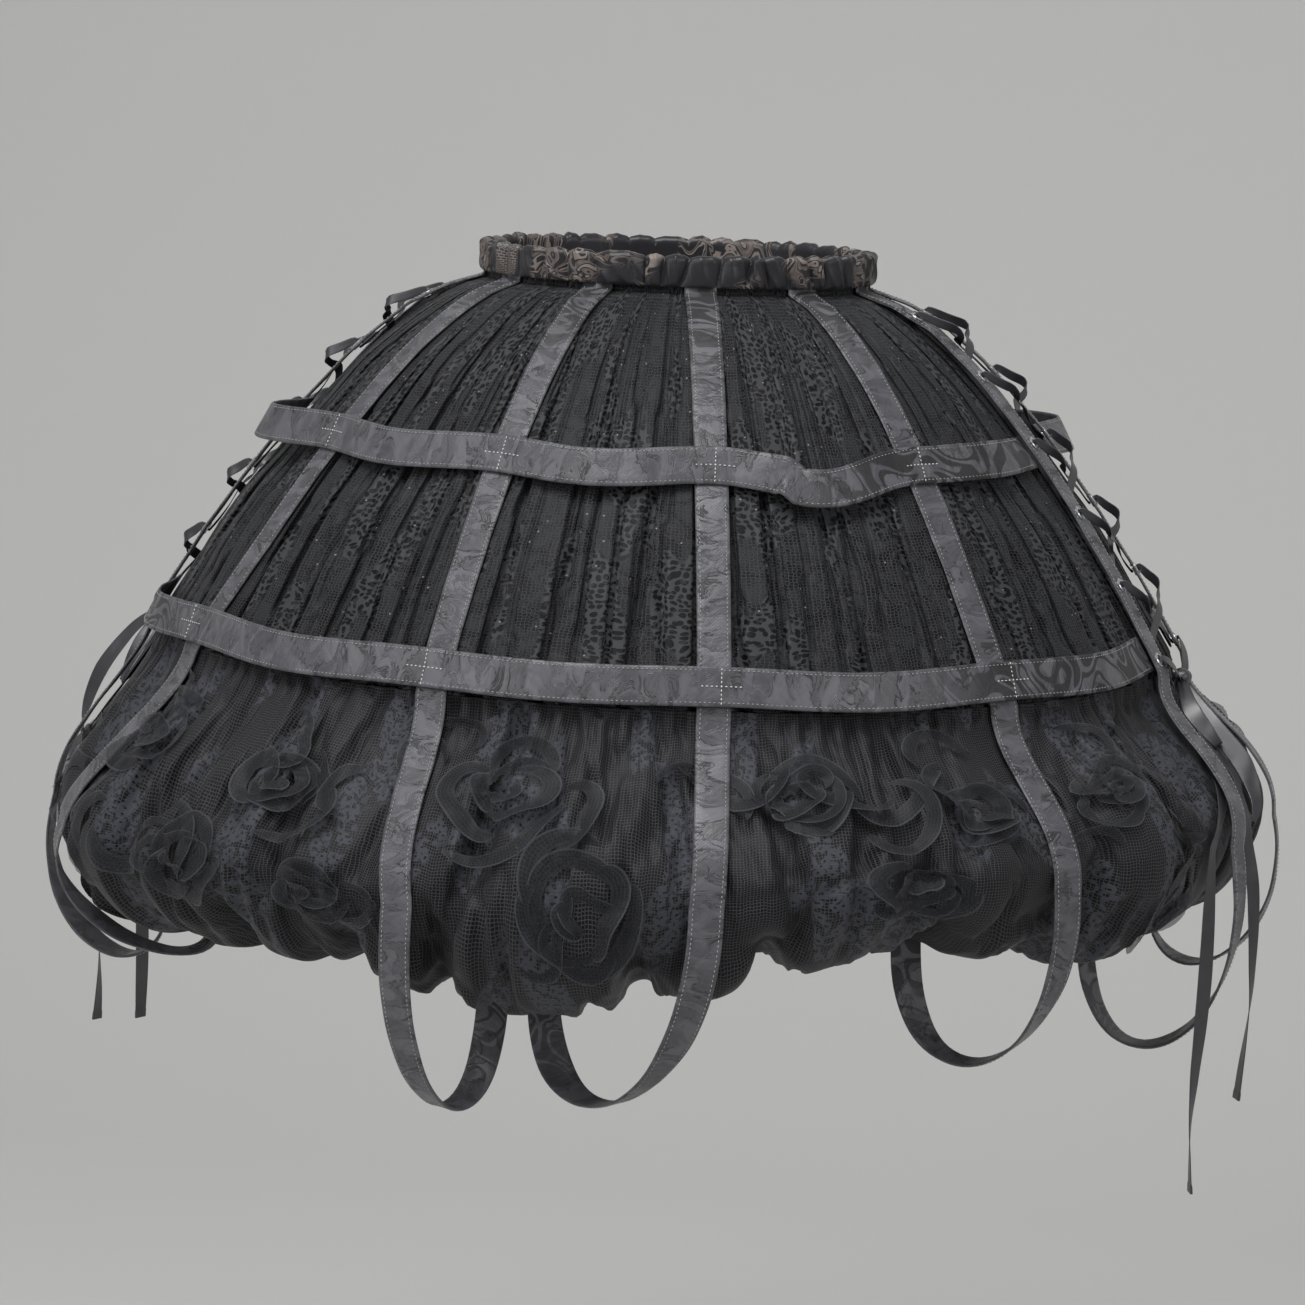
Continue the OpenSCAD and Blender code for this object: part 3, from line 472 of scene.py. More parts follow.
def on_tier(along):
    """First clear distance from the middle of the tier."""
    return tier_depth(along) + TIER_T/2 + FIT_GAP


# Tulle over floral lace gives the eye a fine black net with streaks of blue-grey blossoms under it. Its net is
# drawn coarser than the real one, to show.
tulle, tree, shader = new_material("nylon tulle over floral lace", Roughness=0.5, Specular_IOR_Level=0.2,
                                   Sheen_Weight=0.05)
place = add(tree, "UVMap", uv_map="cloth")
net = add(tree, "TexVoronoi", {"Vector": place, "Scale": every(2), "Randomness": 0.25}, feature="DISTANCE_TO_EDGE")
strand = add(tree, "ValToRGB", {0: net}, ((0.07, 1), (0.16, 0)))
streak = add(tree, "Mapping", {"Vector": place, "Scale": (every(48), every(125), 0)})
streak = add(tree, "TexNoise", {"Vector": streak, "Scale": 1.0, "Detail": 1.0})
streak = add(tree, "ValToRGB", {0: streak}, ((0.54, 0), (0.57, 1)))
bend = add(tree, "TexNoise", {"Vector": place, "Scale": every(8.3)})
bent = add(tree, "VectorMath", {0: bend.outputs["Color"], 2: place, 1: (0.006, 0.006, 0)},
           operation="MULTIPLY_ADD")
petal = add(tree, "TexVoronoi", {"Vector": bent, "Scale": every(6.25), "Randomness": 0.9})
bloom = add(tree, "ValToRGB", {0: petal.outputs["Distance"]}, ((0.14, 0), (0.22, 1), (0.5, 1), (0.64, 0)))
ragged = add(tree, "ValToRGB", {0: bend}, ((0.36, 0), (0.42, 1)))
bloom = add(tree, "Math", {0: bloom, 1: ragged}, operation="MULTIPLY")
bloom = add(tree, "Math", {0: bloom, 1: streak}, operation="MULTIPLY")
shade = add(tree, "Mix", {0: strand, 6: TULLE_DARK, 7: TULLE_THREAD})
shade = add(tree, "Mix", {0: bloom, 6: shade, 7: FLORAL})
raised = add(tree, "Math", {0: strand, 1: bloom}, operation="ADD")
relief = add(tree, "Bump", {"Height": raised, "Strength": 0.4, "Distance": 0.4*MM})
join(shader, {"Base Color": shade, "Normal": relief})

TIER_COLUMNS, TIER_ROWS = 640, 84
TIER_FLAT_W, TIER_FLAT_L = 2900.0, 290.0
angles = ring_angles(TIER_COLUMNS)
alongs = np.linspace(0, 2, TIER_ROWS)
phi, along = np.meshgrid(angles, alongs)
wide, drops = tier_section(alongs, SEAM_HALF_W, BUBBLE_HALF_W)[:2]
radius = (wide + tier_section(alongs, SEAM_HALF_D, BUBBLE_HALF_D)[0])/2
step_round = (radius*2*np.pi/TIER_COLUMNS)[:, None]
degree = step_round*TIER_COLUMNS/360
down = along*100
swell = np.sin(np.pi*np.clip(along/1.9, 0, 1))**0.7
folds = (1.1*swell*gather(phi, 24, 1.5*wander(phi, down, 31, (3, 5, 9), 80))
         + 0.35*gather(phi, 62, 2.0*wander(phi, down, 32, (4, 7, 13), 60))
         + (0.35 - 0.3*swell)*gather(phi, 150, 1.5*wander(phi, down, 33, (6, 11, 21), 45))
         + 0.9*swell*wander(phi, down, 35, (29, 41, 57, 73), 20))
free = ease((strap_gap(phi, np.minimum(drops, BUBBLE_DROP)[:, None], degree) - STRAP_CLEAR)/45)
free = np.maximum(free, ease((along - 1.15)/0.2))
# The bows and their tails lie on the tier at both sides, so the cloth stays low there
beside = np.abs(np.abs((phi + 180) % 360 - 180) - 88)
free = free*ease((beside - 16)/12)
draw = np.random.default_rng(36)
tacks = np.cumsum(draw.uniform(8, 17, 60))
tacks = tacks[tacks < 352]
tack = np.min(np.abs((phi[..., None] - tacks + 180) % 360 - 180), axis=-1)*degree
pulled = np.exp(-(tack/12)**2)*np.exp(-((along - 1.42)/0.24)**2)
high = tier_depth(along) + TIER_BULGE*swell*free - TACK_PULL*pulled
low = np.minimum(-3 - TIER_VALLEY*swell, high - 3)
start = np.clip(folds*(2 + 9*swell), low, high)
start[[0, -1]] = 2.2*gather(phi[[0, -1]], 150, 1.5*wander(phi[[0, -1]], 0, 33, (6, 11, 21)))
moved = settle(step_round, 1.1*2*TIER_LENGTH/TIER_ROWS, TIER_FULL - 0.14*swell[:, :1], start, low, high,
               push=0.06, sag=0.03, steps=130, stiff=0.78)
moved = finer(moved)
fine_angles = ring_angles(2*TIER_COLUMNS)
fine_phi, fine_down = np.meshgrid(fine_angles, alongs*TIER_LENGTH)
puffs = np.abs(wander(fine_phi, fine_down, 39, (13, 19, 29), 14))
ridges = (np.abs(wander(fine_phi, fine_down, 37, (29, 47, 71), 6))
          + 0.5*np.abs(wander(fine_phi, fine_down, 38, (83, 127, 173), 5)))
crumple = (CRUSH_OUT*(puffs - 0.3) - CRUSH_IN*(ridges - 0.5))*np.sin(
    np.pi*np.clip(fine_down/TIER_LENGTH/2, 0, 1))**0.4
tier_out = np.minimum(moved[..., 2] + crumple, finer(high))
spot_phi = fine_angles + moved[..., 0]/degree
spot_along = np.clip(alongs[:, None] + moved[..., 1]/TIER_LENGTH, 0, 2)
points = tier_at(spot_phi, spot_along, tier_out)
points[..., 2] += hem_rise(spot_phi, spot_along)
for half, place in two_halves(points).items():
    uv = cloth_uv(*place.shape[:2], TIER_FLAT_W/2, TIER_FLAT_L)
    flounce = cloth(f"tier_{half}_flounce", [(place, uv)], tulle)
    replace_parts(flounce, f"tier_{half}")

# Rosettes: sheer tulle tape laid in crescents, like the petals of a flat open rose, and tacked on the tier. More
# crescents lie loose between the roses. The tape's edges are painted lighter than its sheer middle, partly for the
# doubled tape and partly as a painted highlight, which is brightest along the raised outer edge.
ROSETTE_R, TAPE_W, TAPE_COVER, LOOSE, ROSE_CLEAR = 34.0, 10.0, 0.7, 26, 13.0
ROSES = {"front": ((0, 0.5, 0.75), (1, 0.31, 0.45), (1, 0.55, 1), (1, 0.71, 0.55), (1, 0.85, 1.05), (2, 0.28, 0.5),
                   (2, 0.62, 1), (3, 0.25, 0.5), (3, 0.54, 1), (3, 0.76, 0.6), (4, 0.3, 0.6), (4, 0.56, 1.15)),
         "back": tuple((gap, share, along) for gap in range(5) for share, along in ((0.32, 0.55), (0.64, 1.05)))}
TAPE_SHEER, TAPE_DOUBLED_EDGE_AND_HIGHLIGHT = "#121316", "#404147"
tape, tree, shader = new_material("sheer tulle tape", Roughness=0.5, Specular_IOR_Level=0.2, Sheen_Weight=0.08,
                                  Alpha=TAPE_COVER)
place = add(tree, "UVMap", uv_map="cloth")
run = add(tree, "SeparateXYZ", {"Vector": place})
# Lighter edges: partly the doubled tape, partly a painted highlight that is brightest on the raised outer edge
doubled_edge_and_highlight = add(tree, "Math", {0: run.outputs["X"], 1: 1000/TAPE_W}, operation="MULTIPLY")
doubled_edge_and_highlight = add(tree, "ValToRGB", {0: doubled_edge_and_highlight}, ((0.02, 0.4), (0.1, 0.1), (0.5, 0.05), (0.88, 0.15), (0.94, 1)))
net = add(tree, "TexVoronoi", {"Vector": place, "Scale": every(2), "Randomness": 0.25}, feature="DISTANCE_TO_EDGE")
strand = add(tree, "ValToRGB", {0: net}, ((0.07, 0.35), (0.18, 0)))
light = add(tree, "Math", {0: doubled_edge_and_highlight, 1: strand}, operation="ADD", use_clamp=True)
shade = add(tree, "Mix", {0: light, 6: TAPE_SHEER, 7: TAPE_DOUBLED_EDGE_AND_HIGHLIGHT})
relief = add(tree, "Bump", {"Height": strand, "Strength": 0.3, "Distance": 0.3*MM})
join(shader, {"Base Color": shade, "Normal": relief})

# The tapes lie on the crests of the tier, evened out
seat = tier_out.copy()
for shift in range(1, 7):
    for axis in (0, 1):
        for way in (-1, 1):
            seat = np.maximum(seat, np.roll(tier_out, way*shift, axis=axis) - 0.25*shift)
for _ in range(12):
    seat = (seat + np.roll(seat, 1, axis=1) + np.roll(seat, -1, axis=1)
            + np.roll(seat, 1, axis=0) + np.roll(seat, -1, axis=0))/5


def tier_seat(phi, along):
    """Height of the settled tier's crests near a place."""
    col = np.round((phi + 90)/180*TIER_COLUMNS).astype(int) % (2*TIER_COLUMNS)
    row = np.clip(np.round(along/2*(TIER_ROWS - 1)).astype(int), 0, TIER_ROWS - 1)
    return seat[row, col]


def rose(phi, along, seed):
    """Grids and uvs of one rose: crescents of tape in rings from its heart outwards."""
    draw = np.random.default_rng(seed)
    size, turn, oval = ROSETTE_R*draw.uniform(0.75, 1.15), draw.uniform(0, 2*np.pi), draw.uniform(0.7, 1)
    t = np.linspace(-0.5, 0.5, 40)
    petals = []
    for k in range(7):
        ring = 0.2 + 0.8*(k/6)**0.8
        turn += draw.uniform(1.5, 2.9)
        angle = turn + blend(3.8, 2.4, ring)*draw.uniform(0.75, 1.25)*t
        bent = 0.2*np.sin(2*angle + draw.uniform(0, 6.28)) + 0.13*np.sin(3*angle + draw.uniform(0, 6.28))
        reach = (size - TAPE_W/2)*ring*(draw.uniform(0.85, 1.1) + 0.4*t*draw.choice([-1, 1]) + bent)
        width = TAPE_W*draw.uniform(0.7, 1.4)*np.sqrt(1 - 0.98*(2*np.abs(t))**2.4)
        tilt = np.radians(np.clip(30 - 14*ring + draw.uniform(-12, 12) + 22*np.sin(2.7*angle + k), 3, 60))
        beside, below = draw.normal(0, 3.5, 2)
        points, uv = [], []
        for across in np.linspace(0, 1, 6):
            spread = reach + (across - 0.4)*width*np.cos(tilt)
            rise = 0.4 + 1.2*(1 - ring) + 0.7*across*width*np.sin(tilt) + 0.9*across*np.sin(4*angle + k)
            side, drop = spread*np.cos(angle) + beside, spread*np.sin(angle)*oval + below
            spot_phi, spot_along = phi + np.degrees(side/BUBBLE_HALF_D), np.clip(along + drop/TIER_LENGTH, 0.05, 1.5)
            spot_drop = blend(SEAM_DROP, BUBBLE_DROP, np.minimum(spot_along, 1))
            out = tier_seat(spot_phi, spot_along) + rise
            held = strap_gap(spot_phi, spot_drop, math.radians(BUBBLE_HALF_D)) < ROSE_CLEAR
            out = np.where(held & (spot_along < 1.1), np.minimum(out, tier_depth(spot_along)), out)
            points.append(tier_at(spot_phi, spot_along, out))
            points[-1][:, 2] += hem_rise(spot_phi, spot_along)
            uv.append(np.stack([across*TAPE_W + 0*t, (angle - angle[0])*size + 40*k], axis=-1))
        petals.append((np.array(points), np.array(uv)*MM))
    return petals


for half, spots in ROSES.items():
    roses = []
    for number, (gap, share, along) in enumerate(spots):
        left, right = strap_phi(half, gap, BUBBLE_DROP), strap_phi(half, gap + 1, BUBBLE_DROP)
        roses.extend(rose(blend(left, right, share), along, 50 + number + 20*(half == "back")))
    draw = np.random.default_rng(90 + (half == "back"))
    for number in range(LOOSE):
        spot = MIDDLES[half] + blend(-71, 71, (number + draw.uniform(0, 1))/LOOSE)
        loose = rose(spot, draw.uniform(0.25, 1.15), 200 + number + 40*(half == "back"))
        roses.append(loose[draw.integers(3, 7)])
    piece = cloth(f"rosettes_{half}_tape", roses, tape)
    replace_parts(piece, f"rosettes_{half}")

# Cage straps: flat tubes of charcoal jacquard, pressed and topstitched along both edges. Each is sewn into the
# casing, lies on the lace and the tier, hangs below the hem in a loop and is tacked to the hem's inside.
STRAP_W, STRAP_T, STRAP_BEND = 19.5, 1.6, FREE_TOP - 0.8
LACING_ROOM, PATH_STEP = 4.5, 4.0
EYELET_COUNT, EYELET_PAD, EYELET_SPREAD = 6, 6.0, 1.1
FIRST_EYELET, LAST_EYELET = FREE_TOP + 13, LOWER_BAND_DROP + 4
ROOM_RAMP = FIRST_EYELET + EYELET_PAD - FREE_TOP
LOOP_SEAT = 1.75
JACQUARD_GROUND, JACQUARD_SCROLL, JACQUARD_CREASE_SHADE = "#5f5f65", "#2d2d30", "#1e1e20"
# The figure is bold once in each repeat along a strap and faint between
BOLD_REPEAT = 0.8


def unit(v):
    """Vectors of length 1."""
    return v/np.linalg.norm(v, axis=-1, keepdims=True)


def lean(drop):
    """How much longer a level step is than the same step square to the lace."""
    slope = (lace_at(90.0, drop + 1, 0) - lace_at(90.0, drop - 1, 0))[..., 0]/2
    return np.where(drop > FREE_TOP, np.hypot(1, slope), 1.0)


def strap_at(phi, drop, extra):
    """Point on the middle of a strap that lies on the lace."""
    drop = np.asarray(drop, float)
    return lace_at(phi, drop, lace_depth(drop) + LACE_T/2 + (FIT_GAP + STRAP_T/2 + extra)*lean(drop))


def room(number, drop):
    """Room under a lacing strap for its eyelets and ribbon."""
    return LACING_ROOM*np.clip((drop - FREE_TOP)/ROOM_RAMP, 0, 1)*(number in (0, 5))


def lace_round(phi, drop):
    """Direction round the lace."""
    return unit(lace_at(phi + 1, drop, 0) - lace_at(phi - 1, drop, 0))


def tier_round(phi, along):
    """Direction round the tier."""
    return unit(tier_at(phi + 1, along, 0) - tier_at(phi - 1, along, 0))


def eyelet_drop(number):
    """Drop of an eyelet."""
    return blend(FIRST_EYELET, LAST_EYELET, (number/(EYELET_COUNT - 1))**EYELET_SPREAD)


def run_along(points):
    """Distance along a path at each of its points."""
    return np.append(0, np.cumsum(np.linalg.norm(np.diff(points, axis=0), axis=1)))


def follow(stops, run, values):
    """Vectors along a path at new places."""
    return np.stack([np.interp(stops, run, values[:, k]) for k in range(3)], axis=-1)


def even(points, sides):
    """Path and width directions at even steps along it."""
    run = run_along(points)
    stops = np.linspace(0, run[-1], max(3, int(run[-1]/PATH_STEP)))
    return follow(stops, run, points), unit(follow(stops, run, sides))


def strap_path(half, number):
    """Middle line of a strap and its width directions, from the casing to the inside of the hem."""
    depth, swing, bulge, _ = LOOPS[half][number]
    phi_low = strap_phi(half, number, BUBBLE_DROP)
    if number in (0, 5):
        pads = [eyelet_drop(k) + s*EYELET_PAD for k in range(EYELET_COUNT) for s in (-1, 1)]
        drops = np.array([TUCK_DROP, STRAP_BEND] + pads)
    else:
        drops = np.concatenate([[TUCK_DROP, STRAP_BEND], np.linspace(FREE_TOP + 6, SEAM_DROP*0.975, 40)])
    phis = strap_phi(half, number, drops)
    points, sides = [strap_at(phis, drops, room(number, drops))], [lace_round(phis, drops)]
    along = np.linspace(0, 1, 24)[:-1]
    phis = strap_phi(half, number, blend(SEAM_DROP, BUBBLE_DROP, along))
    extra = STRAP_T/2 + room(number, HEM_DROP)
    points.append(tier_at(phis, along, on_tier(along) + extra))
    sides.append(tier_round(phis, along))
    first = tier_at(phi_low, 1.0, on_tier(1.0) + extra)
    last = tier_at(phi_low + swing, LOOP_SEAT, on_tier(LOOP_SEAT) + 1)
    last[2] += hem_rise(phi_low + swing, LOOP_SEAT)
    reach = ((first[2] + last[2])/2 + HEM_DROP + depth)/0.75
    turn = math.radians(phi_low)
    outward = bulge*1.6*np.array([math.sin(turn), -math.cos(turn), 0])
    down = np.array([0, 0, -reach])
    t = np.linspace(0, 1, 60)[:, None]
    points.append(first*(1 - t)**3 + (first + outward + down)*3*t*(1 - t)**2
                  + (last + down)*3*t*t*(1 - t) + last*t**3)
    start_side, end_side = tier_round(phi_low, 1.0), tier_round(phi_low + swing, LOOP_SEAT)
    over = unit(np.cross([last[0] - first[0], last[1] - first[1], 0], [0, 0, -1]))
    over = -over if over @ start_side < 0 else over
    sides.append(np.where(t < 0.5, blend(start_side, over, ease(2*t)), blend(over, end_side, ease(2*t - 1))))
    return np.concatenate(points), np.concatenate(sides)


def strip(points, sides, width, thick, seed, wave=0.35):
    """Grid and uv of a flat band along a path, and its line for stitches. Width and thickness may change along it."""
    ahead = unit(np.gradient(points, axis=0))
    across = unit(sides - ahead*np.sum(sides*ahead, axis=1, keepdims=True))
    normal = np.cross(ahead, across)
    run = run_along(points)
    draw = np.random.default_rng(seed)
    folds = [(length, draw.uniform(0, 6.28), draw.uniform(-2, 2)) for length in (5.3, 9.1, 17)]
    half, deep = (np.broadcast_to(np.asarray(v, float)/2, run.shape) for v in (width, thick))
    edge = ((-1, 0.0), (-0.97, 0.75), (-0.86, 1), (-0.45, 0.92), (0, 0.9),
            (0.45, 0.92), (0.86, 1), (0.97, 0.75), (1, 0.0))
    loop = edge + tuple((a, -b) for a, b in edge[-2::-1])
    grid = []
    for a, b in loop:
        ripple = wave/3*sum(np.sin(run/length + start + slant*a) for length, start, slant in folds)
        grid.append(points + across*(half*a)[:, None] + normal*(deep*b + ripple)[:, None])
    grid = np.array(grid)
    uv = np.array([np.stack([half*a + 60*(b < 0), run], axis=-1) for a, b in loop])*MM
    return grid, uv, (points, across, normal, run)


# Jacquard gives the eye a satin charcoal ground with duller scrolls of the same thread, and a soft pressed sheen.
jacquard, tree, shader = new_material("satin jacquard", Sheen_Weight=0.06, Specular_IOR_Level=0.45)
place = add(tree, "UVMap", uv_map="cloth")
scroll = add(tree, "TexNoise", {"Vector": place, "Scale": every(33), "Detail": 0.3, "Distortion": 1.7})
scroll = add(tree, "ValToRGB", {0: scroll}, ((0.36, 0), (0.38, 1), (0.47, 1), (0.49, 0), (0.58, 0), (0.6, 1)))
run = add(tree, "SeparateXYZ", {"Vector": place})
bold = add(tree, "Math", {0: run.outputs["Y"], 1: 2*math.pi/BOLD_REPEAT}, operation="MULTIPLY")
bold = add(tree, "Math", {0: bold}, operation="COSINE")
bold = add(tree, "ValToRGB", {0: bold}, ((0.35, 0.16), (0.75, 1.0)))
figure = add(tree, "Math", {0: scroll, 1: bold}, operation="MULTIPLY")
crinkle = add(tree, "Mapping", {"Vector": place, "Scale": (every(20), every(10.5), 0)})
crinkle = add(tree, "TexNoise", {"Vector": crinkle, "Scale": 1.0, "Detail": 5.0, "Roughness": 0.62,
                                    "Distortion": 0.6})
crease = add(tree, "ValToRGB", {0: crinkle}, ((0.25, 0.5), (0.46, 1), (0.49, 0.5), (0.52, 1), (0.8, 0.7)))
# The ground is darkened in a broad mottle that follows the same noise as the crinkles
mottle = add(tree, "ValToRGB", {0: crinkle}, ((0.32, 0.55), (0.64, 1.0)))
patch = add(tree, "TexNoise", {"Vector": place, "Scale": every(22)})
patch = add(tree, "ValToRGB", {0: patch}, ((0.46, 0), (0.56, 0.8)))
# Painted shade: thin dark lines in the creases of the crinkles, shown in patches
dark = add(tree, "ValToRGB", {0: crinkle}, ((0.455, 0), (0.48, 1), (0.5, 1), (0.525, 0)))
dark = add(tree, "Math", {0: dark, 1: patch}, operation="MULTIPLY")
shade = add(tree, "Mix", {0: figure, 6: JACQUARD_GROUND, 7: JACQUARD_SCROLL})
shade = add(tree, "Mix", {6: shade, 7: mottle, 0: 1.0}, blend_type="MULTIPLY")
shade = add(tree, "Mix", {0: dark, 6: shade, 7: JACQUARD_CREASE_SHADE})
gloss = add(tree, "MapRange", {"Value": figure, "To Min": 0.36, "To Max": 0.62})
twill = add(tree, "TexWave", {"Vector": place, "Scale": every(0.982, WAVE), "Distortion": 0.6},
            bands_direction="DIAGONAL")
height = add(tree, "Math", {0: twill, 2: figure, 1: 0.3}, operation="MULTIPLY_ADD")
relief = add(tree, "Bump", {"Height": height, "Strength": 0.3, "Distance": 0.25*MM})
relief = add(tree, "Bump", {"Height": crease, "Normal": relief, "Strength": 0.5, "Distance": 0.9*MM})
join(shader, {"Base Color": shade, "Roughness": gloss, "Normal": relief})

sewn = {"front": [], "back": []}


def lay(half, name, path, width, seed, repeat, wave=0.35):
    """Jacquard along a path, in the place of its CAD node. Its far end is so many repeats of the figure along."""
    grid, uv, line = strip(*even(*path), width, STRAP_T, seed, wave)
    uv[..., 1] += BOLD_REPEAT*repeat - line[3][-1]*MM
    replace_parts(cloth(f"{name}_jacquard", [(grid, uv)], jacquard), name)
    sewn[half].append((line, width))
    return line


for half in LOOPS:
    for number in range(6):
        lay(half, f"strap_{half}_{number + 1}", strap_path(half, number), STRAP_W,
            100 + number + 10*(half == "back"), number + 0.9 + 8*(half == "back"))

# Cross bands: wider bands of the same jacquard, over the four middle straps and under the two lacing straps.
# They stand off the lace between straps, most at the left of the upper band.
BAND_W, BAND_UNDER, CROSS_GAP = 23.0, 4.0, 0.7
# Drop of a band, how far it stands off between straps and how far it sags there
BANDS = {"upper": (UPPER_BAND_DROP, (22, 4, 5, 8, 4), (0, 2, 3, 9, -1)),
         "lower": (LOWER_BAND_DROP, (8, 3, 2, 4, 3), (1, 2, 1, 2, 1))}


def band_path(half, level):
    """Middle line of a band and its width directions."""
    drop, stand, sag = BANDS[level]
    tuck = math.degrees(math.asin((STRAP_W/2 - BAND_UNDER)/lace_at(90.0, drop, 0)[0]))
    phi = np.linspace(strap_phi(half, 0, drop) + tuck, strap_phi(half, 5, drop) - tuck, 320)
    place = np.clip((phi - MIDDLES[half])/STRAP_STEP/5 + 0.5, 0, 1)*5
    span = np.minimum(4, place.astype(int))
    wave = np.sin(np.pi*(place - span))**2
    rise = ease((np.minimum(place, 5 - place) - 0.1)/0.5)
    under = LACE_T/2 + (FIT_GAP + STRAP_T/2 + 0.4)*lean(drop)
    above = LACE_T/2 + (FIT_GAP + STRAP_T + CROSS_GAP + STRAP_T/2)*lean(drop)
    drops = drop + np.array(sag)[span]*wave
    out = lace_depth(drops) + blend(under, above, rise) + np.array(stand)[span]*wave
    # The front's upper band has a small fold beside its fourth strap, from which it hangs lower
    fold = place - 3.3
    if (half, level) == ("front", "upper"):
        drops = drops + 5*ease(fold/0.06)*ease((0.5 - fold)/0.4) - 3*wave*(span == 3)
        out = out + 5*np.exp(-(fold/0.03)**2)
    # It hangs steeper than the lace, with its upper edge on the straps
    up = unit(lace_at(phi, drops - 3, out) - lace_at(phi, drops + 3, out))
    steep = (0.35*rise)[:, None]
    return lace_at(phi, drops, out + 3*rise), unit(up*(1 - steep) + np.array([0, 0, 1])*steep)


crossings = {"front": [], "back": []}
for half in LOOPS:
    for number, level in enumerate(BANDS):
        line = lay(half, f"band_{half}_{level}", band_path(half, level), BAND_W,
                   130 + number + 9*(half == "back"), 20.075 + 3*number + 8*(half == "back"), 0.5)
        for strap in range(1, 5):
            toward = unit(lace_at(strap_phi(half, strap, BANDS[level][0]), 100.0, 0)[:2])
            nearest = np.argmin(np.hypot(*(unit(line[0][:, :2]) - toward).T))
            crossings[half].append((line, line[3][nearest]))

# Topstitching and tacks: pale grey thread in even stitches along both edges of each strap and band, and a white
# cross of stitches where a band is tacked to a strap.
STITCH, STITCH_PITCH, STITCH_IN, THREAD_R = 1.9, 2.7, 2.2, 0.33
TACK_ARM, TACK_R, THREAD_OUT, TACK_OUT = 10.8, 0.45, 0.12, 0.15
BARE_END = 6.0
THREADS = {"grey polyester thread": ("#8f8f8e", "#bdbdba"), "white polyester thread": ("#d4d4d0", "#f0f0ec")}


def along_line(line, stop):
    """Middle of a strap's line at a run along it, and its directions ahead, across and out."""
    points, across, normal, run = line
    ways = (points, np.gradient(points, axis=0), across, normal)
    middle, ahead, across, out = (follow(stop, run, way) for way in ways)
    return middle, unit(ahead), across, out


def sew(name, spots, material):
    """Piece of short pointed stitches. A spot has a middle, directions along and out, a length and a radius."""
    middle, along, out, length, radius = (np.array(v) for v in zip(*spots))
    side = np.cross(along, out)
    tips = [middle + along*length[:, None]*end for end in (-0.5, 0.5)]
    belly = [middle + (side*a + out*b)*radius[:, None] for a, b in ((1, 0), (0, 1), (-1, 0), (0, -0.6))]
    points = np.stack(tips + belly, axis=1).reshape(-1, 3)
    faces = np.array([(0, 2 + (k + 1) % 4, 2 + k) for k in range(4)]
                     + [(1, 2 + k, 2 + (k + 1) % 4) for k in range(4)])
    faces = (np.arange(len(middle))[:, None, None]*6 + faces).reshape(-1, 3)
    mesh = bpy.data.meshes.new(name)
    mesh.from_pydata((points*MM).tolist(), [], faces.tolist())
    return dress(name, mesh, material)


# Polyester thread gives the eye pale dashes with a soft shine, uneven from stitch to stitch.
threads = {}
for name, (dark, light) in THREADS.items():
    threads[name], tree, shader = new_material(name, Roughness=0.55, Sheen_Weight=0.15)
    place = add(tree, "TexCoord")
    fleck = add(tree, "TexNoise", {"Vector": place.outputs["Object"], "Scale": every(2)}, noise_dimensions="3D")
    shade = add(tree, "Mix", {0: fleck, 6: dark, 7: light})
    join(shader, {"Base Color": shade})

for half in LOOPS:
    spots = []
    for line, width in sewn[half]:
        for stop in np.arange(BARE_END, line[3][-1] - BARE_END, STITCH_PITCH):
            middle, ahead, across, out = along_line(line, stop)
            for side in (-1, 1):
                spot = middle + across*side*(width/2 - STITCH_IN) + out*(STRAP_T/2 + THREAD_OUT)
                spots.append((spot, ahead, out, STITCH, THREAD_R))
    sew(f"topstitch_{half}", spots, threads["grey polyester thread"])
    spots = []
    for line, stop in crossings[half]:
        for step in np.arange(-TACK_ARM, TACK_ARM + 0.1, STITCH_PITCH):
            middle, ahead, across, out = along_line(line, stop + step)
            spots.append((middle + out*(STRAP_T/2 + TACK_OUT), ahead, out, STITCH, TACK_R))
            middle, ahead, across, out = along_line(line, stop)
            spots.append((middle + across*step*0.9 + out*(STRAP_T/2 + TACK_OUT), across, out, STITCH, TACK_R))
    sew(f"tacks_{half}", spots, threads["white polyester thread"])

# Eyelets: rolled metal rings, plated with nickel and pressed through the lacing straps. The CAD solids stay.
# Nickel plate gives the eye a bright grey shine, dulled unevenly by small scuffs.
NICKEL = "#d6d7d9"
nickel, tree, shader = new_material("nickel plate", Base_Color=NICKEL, Metallic=1.0)
place = add(tree, "TexCoord")
scuff = add(tree, "TexNoise", {"Vector": place.outputs["Object"], "Scale": every(1.111), "Detail": 3.0},
            noise_dimensions="3D")
gloss = add(tree, "MapRange", {"Value": scuff, "To Min": 0.14, "To Max": 0.34})
join(shader, {"Roughness": gloss})
for side in ("right", "left"):
    for half in LOOPS:
        recoat(f"eyelets_{side}_{half}", nickel)

# Side lacing: black satin ribbon, bunched where it goes through an eyelet, that crosses between the two lacing
# straps of each side. It lies loose, so its crossings stand off in small arches.
RIBBON_W, RIBBON_T, BUNCH_W = 9.0, 0.6, 3.2
OVER_OUT, UNDER_OUT = STRAP_T/2 + 2.3, -STRAP_T/2 - 1.5
KNOT_R, KNOT_HALF, KNOT_DROP, KNOT_OUT = 5.5, 3.0, LOWER_BAND_DROP + 20, 8.0
ARCH = 5.0
SIDES = {"right": 90.0, "left": -90.0}
SATIN_DARK, SATIN_WORN = "#151519", "#2c2c33"
